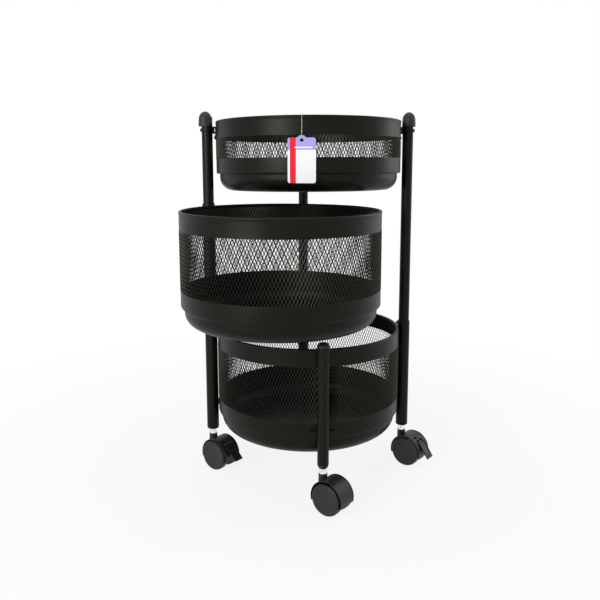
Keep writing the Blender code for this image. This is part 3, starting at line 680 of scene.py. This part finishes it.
def expanded_metal(radius, low, high):
    """A wall of expanded metal between two heights.

    Each bond is a short upright bar. Two strands leave its top for the bonds of the next
    row, half a pitch to either side. Bonds and strands lean, one edge out and one edge in.
    """
    count = round(2 * math.pi * radius / BOND_PITCH)
    rows = round((high - low) / HALF_ROW)
    step = (high - low) / rows
    pitch = 2 * math.pi / count
    half = BOND_WIDTH / 2 / radius
    shape = bmesh.new()

    def ring_of_bonds(row):
        """The bonds of one row: (bottom, top), each with its left, middle and right corners."""
        height = low + row * step
        bottom = low - MESH_TUCK if row == 0 else height - BOND_LENGTH / 2
        top = high + MESH_TUCK if row == rows else height + BOND_LENGTH / 2
        bonds = []
        for index in range(count):
            turn = (index + 0.5 * (row % 2)) * pitch
            corners = []
            for level in (bottom, top):
                for side in (-1, 0, 1):
                    reach = radius + side * STRAND_TILT
                    angle = turn + side * half
                    corner = (reach * math.cos(angle), reach * math.sin(angle), level)
                    corners.append(shape.verts.new(corner))
            bonds.append((corners[:3], corners[3:]))
        return bonds

    below = None
    for row in range(rows + 1):
        bonds = ring_of_bonds(row)
        for bottom, top in bonds:
            for side in (0, 1):
                shape.faces.new((bottom[side], bottom[side + 1], top[side + 1], top[side]))
        if below:
            shift = (row - 1) % 2
            for index, (_, top) in enumerate(below):
                right = bonds[(index + shift) % count][0]
                left = bonds[(index + shift - 1) % count][0]
                shape.faces.new((top[1], top[2], right[1], right[0]))
                shape.faces.new((top[0], top[1], left[2], left[1]))
        below = bonds
    mesh = mesh_from(shape)
    helper = new_object("helper", mesh)
    thick = helper.modifiers.new("Thick", "SOLIDIFY")
    thick.thickness = STRAND_THICKNESS
    thick.offset = 0
    apply_helper(helper)
    return mesh


def mesh_wall(radius, low, high, rim):
    """The wall between the bands, and the part of it that runs on behind the rim band."""
    wall = expanded_metal(radius - SHEET / 2, low, high)
    behind = radius - SHEET - STRAND_TILT - STRAND_THICKNESS / 2 - MESH_BEHIND_BAND
    hidden = expanded_metal(behind, high, rim - 2 * BEAD_RADIUS - 2 * MESH_TUCK)
    return joined(wall, hidden, sharp=50)


def set_askew(mesh, middle_height):
    """Tilt a part of the top basket, which sits a little askew in its brackets."""
    middle = Matrix.Translation((0, 0, middle_height))
    tilt = Euler((*TOP_TILT, 0)).to_matrix().to_4x4()
    mesh.transform(Matrix.Translation((0, 0, -TOP_SAG)) @ middle @ tilt @ middle.inverted())


def build_baskets():
    """Three baskets of rim band, expanded metal, lower band and pan."""
    for name, radius in BASKET_RADII.items():
        band, wall, low_band, floor = [
            name + part for part in ("_rim_band", "_mesh_wall", "_lower_band", "_pan")]
        centre = middle_of(band)
        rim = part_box(band)[1].z
        wall_ends = [corner.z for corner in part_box(wall)]
        pan_ends = [corner.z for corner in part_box(floor)]
        for node, mesh, height, coat in (
            (band, rim_band(radius, height_of(band)), rim, None),
            (wall, mesh_wall(radius, *wall_ends, rim), 0, STRAND_COAT),
            (low_band, lower_band(radius, height_of(low_band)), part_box(low_band)[1].z, None),
            (floor, pan(radius, *pan_ends), 0, None),
        ):
            if name == "top":
                set_askew(mesh, centre.z - height)
            place = (centre.x, centre.y, height)
            add_piece(node, mesh, "powder_coat", body_name(floor), place, material=coat)


def tube(radius, low, high):
    """A length of tube with broken edges."""
    bore = radius - TUBE_WALL
    edge = TUBE_EDGE
    profile = [
        (radius - edge, high), (radius, high - edge), (radius, low + edge), (radius - edge, low),
        (bore, low), (bore, high),
    ]
    return turned_mesh(profile, TUBE_STEPS)


def build_tubes():
    """The posts' tubes."""
    tubes = {"front_tube": THIN_TUBE_RADIUS}
    for name in ("left", "right", "back"):
        tubes[name + "_lower_tube"] = THICK_TUBE_RADIUS
        tubes[name + "_upper_tube"] = THIN_TUBE_RADIUS
    for node, radius in tubes.items():
        centre = middle_of(node)
        start = foot_of(node) if "upper" in node else foot_of(node) + PLUG_RAISE
        mesh = tube(radius, start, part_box(node)[1].z)
        add_piece(node, mesh, "powder_coat", "frame", (centre.x, centre.y, 0))


def smooth_shares(shares, steps=6):
    """Points of a smooth line through the shares given."""
    points = [Vector(share) for share in shares]
    points = [points[0], *points, points[-1]]
    line = []
    for index in range(1, len(points) - 2):
        before, start, end, after = points[index - 1:index + 3]
        for step in range(steps):
            t = step / steps
            line.append(0.5 * (
                2 * start + (end - before) * t
                + (2 * before - 5 * start + 4 * end - after) * t ** 2
                + (3 * start - before - 3 * end + after) * t ** 3))
    line.append(points[-1])
    return [tuple(point) for point in line]


def cap(radius, height, top_wall, shape_shares):
    """A cap over a thin tube's end, its top at z = 0."""
    bore = THIN_TUBE_RADIUS + FIT_GAP
    edge = min(CAP_EDGE, (radius - bore) / 3)
    profile = [(radius * across, -height * down) for across, down in smooth_shares(shape_shares)]
    profile[-1:] = arc(edge, 0, -90, steps=4, centre=(radius - edge, edge - height))
    profile += [(bore, -height), (bore, -top_wall), (0, -top_wall)]
    return turned_mesh(profile, DETAIL_STEPS)


def build_caps():
    """Domed caps on the tall posts and a low one on the front post."""
    for name, angle in POST_ANGLES.items():
        node = name + "_cap"
        low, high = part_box(node)
        centre = middle_of(node)
        top_wall, shares = CAP_TOP_WALL, DOME_SHARES
        if name == "front":
            top_wall, shares = FRONT_CAP_TOP_WALL, LOW_DOME_SHARES
        mesh = cap((high.x - low.x) / 2, high.z - low.z, top_wall, shares)
        x = centre.x + CAP_OFF_AXIS[name] * math.cos(angle)
        y = centre.y + CAP_OFF_AXIS[name] * math.sin(angle)
        add_piece(node, mesh, "cap_plastic", "frame", (x, y, high.z))


def plug(shoulder, end, rise, height):
    """A plug in a tube's end, with a flange or a cone of a given rise under the tube."""
    bore = STEM_RADIUS + FIT_GAP
    body = shoulder - TUBE_WALL - FIT_GAP
    waist = ((shoulder * 2 + end) / 3, rise * PLUG_WAIST_SHARE)
    side = smooth_shares(((shoulder, rise - EDGE_ROUND), waist, (end, EDGE_ROUND / 2)), steps=5)
    profile = [(body, height), (body, rise), (shoulder - EDGE_ROUND, rise), *side]
    profile += [(end - EDGE_ROUND, 0), (bore, 0), (bore, height)]
    return turned_mesh(profile, TUBE_STEPS)


def build_plugs():
    """Plugs at the feet of the posts."""
    for name in POST_ANGLES:
        node = name + "_plug"
        centre = middle_of(node)
        shoulder, rise = THICK_TUBE_RADIUS, PLUG_FLANGE_HEIGHT
        end = shoulder - rise / 2
        if name == "front":
            shoulder, end, rise = THIN_TUBE_RADIUS, FRONT_PLUG_END_RADIUS, FRONT_PLUG_CONE_HEIGHT
        mesh = plug(shoulder, end, rise, height_of(node))
        place = (centre.x, centre.y, foot_of(node) + PLUG_RAISE)
        add_piece(node, mesh, "cap_plastic", "frame", place)


def post_place(name, height):
    """A point on a post's axis."""
    centre = middle_of(name + "_cap")
    return (centre.x, centre.y, height)


def ring(bore, bottom, top, cone=0.0, wall=COLLAR_WALL):
    """A collar's ring with rounded edges, coned above if asked."""
    radius = bore + wall
    edge = min(EDGE_ROUND, wall / 2)
    profile = arc(edge, 90, 0, steps=3, centre=(radius - edge, top - cone - edge))
    profile += arc(edge, 0, -90, steps=3, centre=(radius - edge, bottom + edge))
    profile += [(bore, bottom), (bore, top)]
    if cone:
        profile[:1] = [(bore + wall / 3, top), (radius - edge, top - cone)]
    return turned_mesh(profile, TUBE_STEPS)


def square_arm(bore, height):
    """A bracket's arm from its collar to the basket's band, its underside at z = 0."""
    inner = bore + COLLAR_WALL / 3
    outline = [(-inner, 0), (-POST_TO_BAND, 0), (-POST_TO_BAND, height), (-inner, height)]
    return prism_mesh(outline, ARM_WIDTH / 2, EDGE_ROUND)


def build_top_collars():
    """Ring, saddle, two rods and the foot that holds the top basket's wall."""
    bore = THIN_TUBE_RADIUS + FIT_GAP
    outer = bore + COLLAR_WALL
    reach = POST_TO_BAND
    for name in ("left", "right", "back"):
        node = "top_" + name + "_collar"
        half = height_of(node) / 2
        spread = half - TOP_ROD_RADIUS - TOP_ROD_INSET
        saddle_low = (-outer - TOP_SADDLE_PROUD, -ARM_WIDTH / 2, -half)
        saddle_high = (-bore + TOP_SADDLE_SINK, ARM_WIDTH / 2, half)
        parts = [ring(bore, -TOP_COLLAR_HEIGHT / 2, TOP_COLLAR_HEIGHT / 2)]
        parts.append(box_mesh(saddle_low, saddle_high, EDGE_ROUND))
        for height in (-spread, spread):
            parts.append(rod_mesh(TOP_ROD_RADIUS, (-outer, 0, height), (-reach, 0, height)))
        foot = [
            (-reach, half),
            (-reach, -TOP_FOOT_DROP),
            (-reach + TOP_FOOT_POINT, -TOP_FOOT_DROP + TOP_FOOT_POINT),
            (-reach + SHEET, -TOP_FOOT_DROP + TOP_FOOT_SLOPE),
            (-reach + SHEET, half),
        ]
        parts.append(prism_mesh(foot, ARM_WIDTH / 2, EDGE_ROUND / 2))
        place = post_place(name, middle_of(node).z)
        add_piece(node, joined(*parts), "powder_coat", "frame", place, POST_ANGLES[name])


def bottom_collar(bore, height):
    """A tapered ring above the bottom basket's rim, with a web that slopes over the bead."""
    inner = bore + BOTTOM_COLLAR_WALL / 3
    outline = [
        (-POST_TO_BOTTOM_BEAD, FIT_GAP),
        (-inner, FIT_GAP),
        (-inner, BOTTOM_WEB_HEIGHT),
        (-bore - BOTTOM_COLLAR_WALL, BOTTOM_WEB_HEIGHT - BOTTOM_WEB_EDGE_HEIGHT / 2),
        (-POST_TO_BOTTOM_BEAD, BOTTOM_WEB_EDGE_HEIGHT),
    ]
    web = prism_mesh(outline, ARM_WIDTH / 2, EDGE_ROUND / 2)
    return joined(ring(bore, 0, height, BOTTOM_COLLAR_TAPER, BOTTOM_COLLAR_WALL), web)


def swing_turn():
    """How far the middle basket's arm has turned from the left post's own direction."""
    post = middle_of("left_cap")
    basket = middle_of("middle_rim_band")
    return math.atan2(basket.y - post.y, basket.x - post.x)


def build_basket_brackets():
    """Collars and arms of the middle and bottom baskets, and the bottom one's lugs."""
    thin_bore = THIN_TUBE_RADIUS + FIT_GAP
    thick_bore = THICK_TUBE_RADIUS + FIT_GAP
    swing_angle = math.pi + swing_turn()
    for node, bore, cone in (
        ("middle_pivot_collar", thin_bore, PIVOT_CONE_HEIGHT),
        ("middle_lower_collar", thick_bore, 0),
    ):
        height = height_of(node)
        arm_top = height - cone / 2 - BEAD_UNDER_ARM if cone else height
        mesh = joined(ring(bore, 0, height, cone), square_arm(bore, arm_top))
        place = post_place("left", foot_of(node))
        add_piece(node, mesh, "powder_coat", "middle_basket", place, swing_angle)
    for name, angle in POST_ANGLES.items():
        node = "bottom_" + name + "_collar"
        mesh = bottom_collar(thick_bore if name == "left" else thin_bore, height_of(node))
        add_piece(node, mesh, "powder_coat", "frame", post_place(name, foot_of(node)), angle)
        node = "bottom_" + name + "_lug"
        tube_radius, width = THICK_TUBE_RADIUS, LUG_WIDTH
        if name == "front":
            tube_radius, width = THIN_TUBE_RADIUS, FRONT_LUG_WIDTH
        low = (-POST_TO_BOTTOM_BAND, -width / 2, 0)
        high = (-tube_radius - FIT_GAP, width / 2, height_of(node))
        mesh = finish_shading(box_mesh(low, high, min(LUG_ROUND, (high[0] - low[0]) / 3)))
        add_piece(node, mesh, "powder_coat", "frame", post_place(name, foot_of(node)), angle)


def caster_housing(braked):
    """Hood with rims at both sides, web, stem socket and axle. The stem's axis is Z."""
    centre = (CASTER_TRAIL, WHEEL_RADIUS)
    hood_radius = HOOD_INNER_RADIUS + HOOD_WALL
    start, end = HOOD_ANGLES
    inner = arc(HOOD_INNER_RADIUS, end, start, HOOD_STEPS, centre)
    hood = prism_mesh(arc(hood_radius, start, end, HOOD_STEPS, centre) + inner, HOOD_HALF_WIDTH)
    rim = arc(hood_radius + HOOD_RIM_PROUD, start, end, HOOD_STEPS, centre) + inner
    rim_middle = HOOD_HALF_WIDTH - HOOD_RIM_WIDTH / 2
    parts = [
        prism_mesh(rim, HOOD_RIM_WIDTH / 2, HOOD_RIM_ROUND, side * rim_middle)
        for side in (-1, 1)]
    web = arc(
        hood_radius - HOOD_WALL / 2, start + WEB_SET_BACK, end - WEB_SET_BACK, 48, centre)
    parts.append(prism_mesh(web, WEB_THICKNESS / 2))
    socket_bottom = SOCKET_TOP - SOCKET_DEPTH - SOCKET_FLOOR
    swell = SOCKET_RADIUS * SOCKET_SWELL
    step_top, step_bottom = [
        SOCKET_TOP - share * (SOCKET_TOP - socket_bottom) for share in SOCKET_STEP_SHARES]
    parts.append(turned_mesh([
        (0, SOCKET_TOP), (SOCKET_RADIUS - EDGE_ROUND, SOCKET_TOP),
        (SOCKET_RADIUS, SOCKET_TOP - EDGE_ROUND), (SOCKET_RADIUS, step_top),
        (swell, step_bottom), (swell, socket_bottom), (0, socket_bottom),
    ], TUBE_STEPS))
    reach = WHEEL_OUTER_FACE - WHEEL_FACE_WALL - FIT_GAP
    axle_ends = [(CASTER_TRAIL, side * reach, WHEEL_RADIUS) for side in (-1, 1)]
    parts.append(rod_mesh(AXLE_RADIUS, *axle_ends))
    bore_ends = ((0, 0, SOCKET_TOP - SOCKET_DEPTH), (0, 0, SOCKET_TOP + OVERRUN))
    cuts = [rod_mesh(STEM_RADIUS + FIT_GAP, *bore_ends)]
    if braked:
        for angles, half_width, middle in (
            (WINDOW_ANGLES, LEVER_HALF_WIDTH + WINDOW_MARGIN, 0),
            (SLOT_ANGLES, SLOT_WIDTH / 2, -SLOT_OFF_MIDDLE),
        ):
            outline = arc(hood_radius + WINDOW_OVERRUN, *angles, 12, centre)
            outline += arc(HOOD_INNER_RADIUS - WINDOW_UNDERRUN, *angles[::-1], 12, centre)
            cuts.append(prism_mesh(outline, half_width, middle=middle))
    return united(hood, parts, cuts, CASTER_ROUND)


def caster_stem():
    """Chromed stem with a fat neck and a thin washer on it."""
    stem_top = CASTER_HEIGHT + STEM_IN_PLUG
    stem_bottom = SOCKET_TOP - SOCKET_DEPTH + FIT_GAP
    neck_bottom = SOCKET_TOP + FIT_GAP
    neck_top = CASTER_HEIGHT - FIT_GAP + PLUG_RAISE
    edge = EDGE_ROUND
    washer = STEM_NECK_RADIUS - edge
    waist = STEM_NECK_RADIUS - 1.5 * edge
    profile = [
        (0, stem_top), (STEM_RADIUS - edge, stem_top), (STEM_RADIUS, stem_top - edge),
        (STEM_RADIUS, neck_top), (washer, neck_top), (STEM_NECK_RADIUS, neck_top - edge),
        (STEM_NECK_RADIUS, neck_top - 3 * edge), (waist, neck_top - 4 * edge),
        (waist, neck_bottom + 3 * edge), (washer, neck_bottom + 2 * edge),
        (washer, neck_bottom), (STEM_RADIUS, neck_bottom),
        (STEM_RADIUS, stem_bottom), (0, stem_bottom),
    ]
    return turned_mesh(profile, TUBE_STEPS)


def caster_wheel(side):
    """A wheel with a dished face, a crowned tread and a hollow back. side is -1 or 1."""
    edge = WHEEL_EDGE_ROUND
    width = WHEEL_WIDTH
    radius = WHEEL_RADIUS - WHEEL_TREAD_GAP
    across, along = WHEEL_SHOULDER
    bore = AXLE_RADIUS + FIT_GAP
    back = radius - RIM_THICKNESS
    profile = [(0, width - FACE_DISH)]
    profile += [(radius * out, width - FACE_DISH * down) for out, down in FACE_SHARES]
    profile += [(radius - across - edge / 2, width)]
    profile += [
        (radius - across + across * x, width - along + along * y) for x, y in arc(1, 90, 0, 10)]
    profile += arc(edge, 0, -90, steps=6, centre=(radius - edge, edge))
    profile += [(back, 0), (back - edge / 3, BACK_HOLLOW), (HUB_RADIUS, BACK_HOLLOW)]
    profile += [(HUB_RADIUS, 0), (bore, 0)]
    profile += [(bore, width - WHEEL_FACE_WALL), (0, width - WHEEL_FACE_WALL)]
    mesh = turned_mesh(profile, WHEEL_STEPS)
    on_its_side = Matrix.Rotation(-side * math.pi / 2, 4, "X")
    mesh.transform(Matrix.Translation((0, side * WHEEL_INNER_FACE, 0)) @ on_its_side)
    return mesh


def brake_lever(lever_reach):
    """The brake pedal: a plate that leaves the hood straight, with side ribs and a pad."""
    near = HOOD_INNER_RADIUS + HOOD_WALL + FIT_GAP
    top_angle, bend_angle = LEVER_ANGLES
    bend = Vector((math.cos(math.radians(bend_angle)), math.sin(math.radians(bend_angle))))
    along = Vector((bend.y, -bend.x))

    def strip(inner, outer):
        """An outline between two radii, run out straight."""
        sides = []
        for radius in (inner, outer):
            points = []
            for index, (x, z) in enumerate(arc(1, top_angle, bend_angle, LEVER_STEPS)):
                sunk = radius - LEVER_SINK * (1 - index / LEVER_STEPS)
                points.append((x * sunk, z * sunk))
            sides.append(points + [tuple(bend * radius + along * lever_reach)])
        return sides[0] + sides[1][::-1]

    plate = prism_mesh(strip(near, near + LEVER_THICKNESS * LEVER_PLATE_SHARE), LEVER_HALF_WIDTH)
    rib = strip(near, near + LEVER_THICKNESS)
    rib_middle = LEVER_HALF_WIDTH - LEVER_RIB / 2
    extras = [prism_mesh(rib, LEVER_RIB / 2, middle=side * rib_middle) for side in (-1, 1)]
    far = near + LEVER_THICKNESS
    pad_start = bend * near + along * (lever_reach - LEVER_PAD)
    pad = [pad_start, pad_start + bend * LEVER_THICKNESS]
    pad += [bend * radius + along * lever_reach for radius in (far, near)]
    extras.append(prism_mesh(pad, LEVER_HALF_WIDTH))
    lever = united(plate, extras, (), CASTER_ROUND)
    for vertex in lever.vertices:
        reach = Vector((vertex.co.x, vertex.co.z)).dot(along)
        down = (reach + near / 2) / (lever_reach + near / 2)
        vertex.co.y *= LEVER_FLARE + (1 - LEVER_FLARE) * min(max(down, 0), 1)
    return lever


def build_casters():
    """Four casters, two of them with brakes."""
    plain, braked, stem = caster_housing(False), caster_housing(True), caster_stem()
    wheels = {"near": caster_wheel(-1), "far": caster_wheel(1)}
    turn = CASTER_HEADING
    for name in POST_ANGLES:
        body = name + "_caster"
        post = middle_of(body + "_stem")
        place = (post.x, post.y, 0)
        add_piece(body + "_stem", stem, "chrome", "frame", place)
        housing = braked if name in BRAKED else plain
        add_piece(body + "_housing", housing, "caster_plastic", body, place, turn)
        axle_place = (
            post.x + CASTER_TRAIL * math.cos(turn), post.y + CASTER_TRAIL * math.sin(turn),
            WHEEL_RADIUS)
        for side, mesh in wheels.items():
            node = name + "_" + side + "_wheel"
            add_piece(node, mesh, "caster_plastic", node, axle_place, turn)
        if name in BRAKED:
            node = name + "_brake_lever"
            lever = brake_lever(LEVER_REACHES[name])
            lever.transform(Matrix.Rotation(-LEVER_LIFTS[name], 4, "Y"))
            add_piece(node, lever, "caster_plastic", node, axle_place, turn)


def tag_card():
    """The card in XZ, with a bump and a hole at its top. The strand crosses the origin."""
    top = TAG_HOLE_BELOW_EDGE - TAG_HANG
    corner = TAG_CORNER_RADIUS
    right = TAG_WIDTH / 2 - corner
    low, high = top - TAG_HEIGHT + corner, top - corner
    bump = math.degrees(math.asin(TAG_HOLE_BELOW_EDGE / TAG_BUMP_RADIUS))
    outline = arc(corner, -180, -90, steps=8, centre=(-right, low))
    outline += arc(corner, -90, 0, steps=8, centre=(right, low))
    outline += arc(corner, 0, 90, steps=8, centre=(right, high))
    outline += arc(TAG_BUMP_RADIUS, bump, 180 - bump, steps=16, centre=(0, -TAG_HANG))
    outline += arc(corner, 90, 180, steps=8, centre=(-right, high))
    card = prism_mesh(outline, TAG_THICKNESS / 2)
    hole_ends = [(0, side * OVERRUN, -TAG_HANG) for side in (-1, 1)]
    return united(card, (), [rod_mesh(TAG_HOLE_RADIUS, *hole_ends, steps=32)])


def strand_mesh(route, radius, sides=12):
    """A round strand along points in YZ."""
    shape = bmesh.new()
    points = [Vector((0, y, z)) for y, z in route]
    across = Vector((1, 0, 0))
    rings = []
    for index, point in enumerate(points):
        before = points[max(index - 1, 0)]
        after = points[min(index + 1, len(points) - 1)]
        up = across.cross((after - before).normalized())
        rings.append([
            shape.verts.new(point + radius * (math.cos(a) * across + math.sin(a) * up))
            for a in (2 * math.pi * k / sides for k in range(sides))])
    for ring_a, ring_b in zip(rings, rings[1:]):
        for k in range(sides):
            n = (k + 1) % sides
            shape.faces.new((ring_a[k], ring_a[n], ring_b[n], ring_b[k]))
    shape.faces.new(rings[0])
    shape.faces.new(rings[-1][::-1])
    return finish_shading(mesh_from(shape))


def build_tag():
    """A card on a clear strand over the top basket's rim."""
    centre = middle_of("top_rim_band")
    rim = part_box("top_rim_band")[1].z
    radius = BASKET_RADII["top"]
    card_distance = radius + MESH_PROUD + TAG_STANDOFF + TAG_THICKNESS / 2
    hang = -TAG_TOP_BELOW_RIM - TAG_HOLE_BELOW_EDGE + TAG_HANG
    aside = Vector((math.sin(TAG_TURN), -math.cos(TAG_TURN), 0)) * card_distance
    place = (centre.x + aside.x, centre.y + aside.y, rim + hang)
    add_piece("tag_card", tag_card(), "card", "tag_card", place, TAG_TURN, card_material())
    away = LOOP_RADIUS + LOOP_CLEARANCE
    bead_out = radius + BEAD_PROUD
    bead = (bead_out - BEAD_RADIUS, -BEAD_RADIUS)
    front = card_distance + TAG_THICKNESS / 2 + away
    back = card_distance - TAG_THICKNESS / 2 - away
    route = [(bead_out - 2 * BEAD_RADIUS - away, -LOOP_INNER_LEG)]
    route += arc(BEAD_RADIUS + away, 180, 0, steps=14, centre=bead)
    for above in (TAG_HOLE_BELOW_EDGE, 2 * LOOP_RADIUS, LOOP_RADIUS):
        route.append((front, hang + above))
    route += [(front - away / 2, hang), (back, hang)]
    strand = strand_mesh([(-distance, height) for distance, height in route], LOOP_RADIUS)
    place = (centre.x, centre.y, rim)
    add_piece("tag_loop", strand, "clear_strand", "frame", place, TAG_TURN, strand_material())


def build_camera():
    """The photograph's view."""
    data = bpy.data.cameras.new("camera")
    data.lens = CAMERA_LENS
    data.sensor_width = CAMERA_SENSOR
    data.shift_x, data.shift_y = CAMERA_SHIFT
    data.clip_start = CAMERA_NEAR
    camera = new_object("camera", data)
    camera.location = CAMERA_PLACE
    camera.rotation_euler = (CAMERA_TILT, 0, CAMERA_TURN)
    bpy.context.scene.camera = camera


def area_light(name, place, size, power):
    """A soft box that faces the rack."""
    data = bpy.data.lights.new(name, "AREA")
    data.shape = "RECTANGLE"
    data.size, data.size_y = size
    data.energy = power
    light = new_object(name, data)
    light.location = place
    aim = Vector(LAMP_AIM) - Vector(place)
    light.rotation_euler = aim.to_track_quat("-Z", "Y").to_euler()


def background_ray(tree):
    """1 for camera, glossy and transmission rays."""
    rays = tree.nodes.new("ShaderNodeLightPath").outputs
    either = math_node(tree, "MAXIMUM", rays["Is Camera Ray"], rays["Is Glossy Ray"])
    return math_node(tree, "MAXIMUM", either, rays["Is Transmission Ray"])


def build_world():
    """A white surround, and a dimmer one as light."""
    world = bpy.data.worlds.new("studio")
    bpy.context.scene.world = world
    world.use_nodes = True
    tree = world.node_tree
    background = tree.nodes["Background"]
    background.inputs["Color"].default_value = (1, 1, 1, 1)
    strength = value_between(tree, background_ray(tree), SURROUND_LIGHT, 1.0)
    tree.links.new(strength, background.inputs["Strength"])


def build_floor():
    """A pale floor, nearly white to the camera, that keeps a soft shadow."""
    shape = bmesh.new()
    bmesh.ops.create_grid(shape, x_segments=1, y_segments=1, size=FLOOR_REACH)
    floor = new_object("floor", mesh_from(shape))
    material, tree, shader = new_material("floor_look")
    shader.inputs["Base Color"].default_value = FLOOR_GREY
    shader.inputs["Roughness"].default_value = 0.9
    shader.inputs["Specular IOR Level"].default_value = 0.1
    glow = tree.nodes.new("ShaderNodeEmission")
    glow.inputs["Color"].default_value = (1, 1, 1, 1)
    glow.inputs["Strength"].default_value = 1.0
    place = tree.nodes.new("ShaderNodeTexCoord")
    distance = tree.nodes.new("ShaderNodeVectorMath")
    distance.operation = "LENGTH"
    tree.links.new(place.outputs["Object"], distance.inputs[0])
    fade = value_between(
        tree, distance.outputs["Value"], FLOOR_NEAR_WHITE, 1.0, FLOOR_FADE, "SMOOTHSTEP")
    mix = tree.nodes.new("ShaderNodeMixShader")
    tree.links.new(math_node(tree, "MULTIPLY", background_ray(tree), fade), mix.inputs["Fac"])
    tree.links.new(shader.outputs["BSDF"], mix.inputs[1])
    tree.links.new(glow.outputs["Emission"], mix.inputs[2])
    tree.links.new(mix.outputs["Shader"], tree.nodes["Material Output"].inputs["Surface"])
    floor.data.materials.append(material)


def build_stage():
    """Floor, surround and lamps."""
    build_world()
    build_floor()
    bpy.context.scene.view_settings.view_transform = "Standard"
    for name, (place, size, power) in LAMPS.items():
        area_light(name, place, size, power)


build_camera()
build_stage()
build_baskets()
build_tubes()
build_caps()
build_plugs()
build_top_collars()
build_basket_brackets()
build_casters()
build_tag()
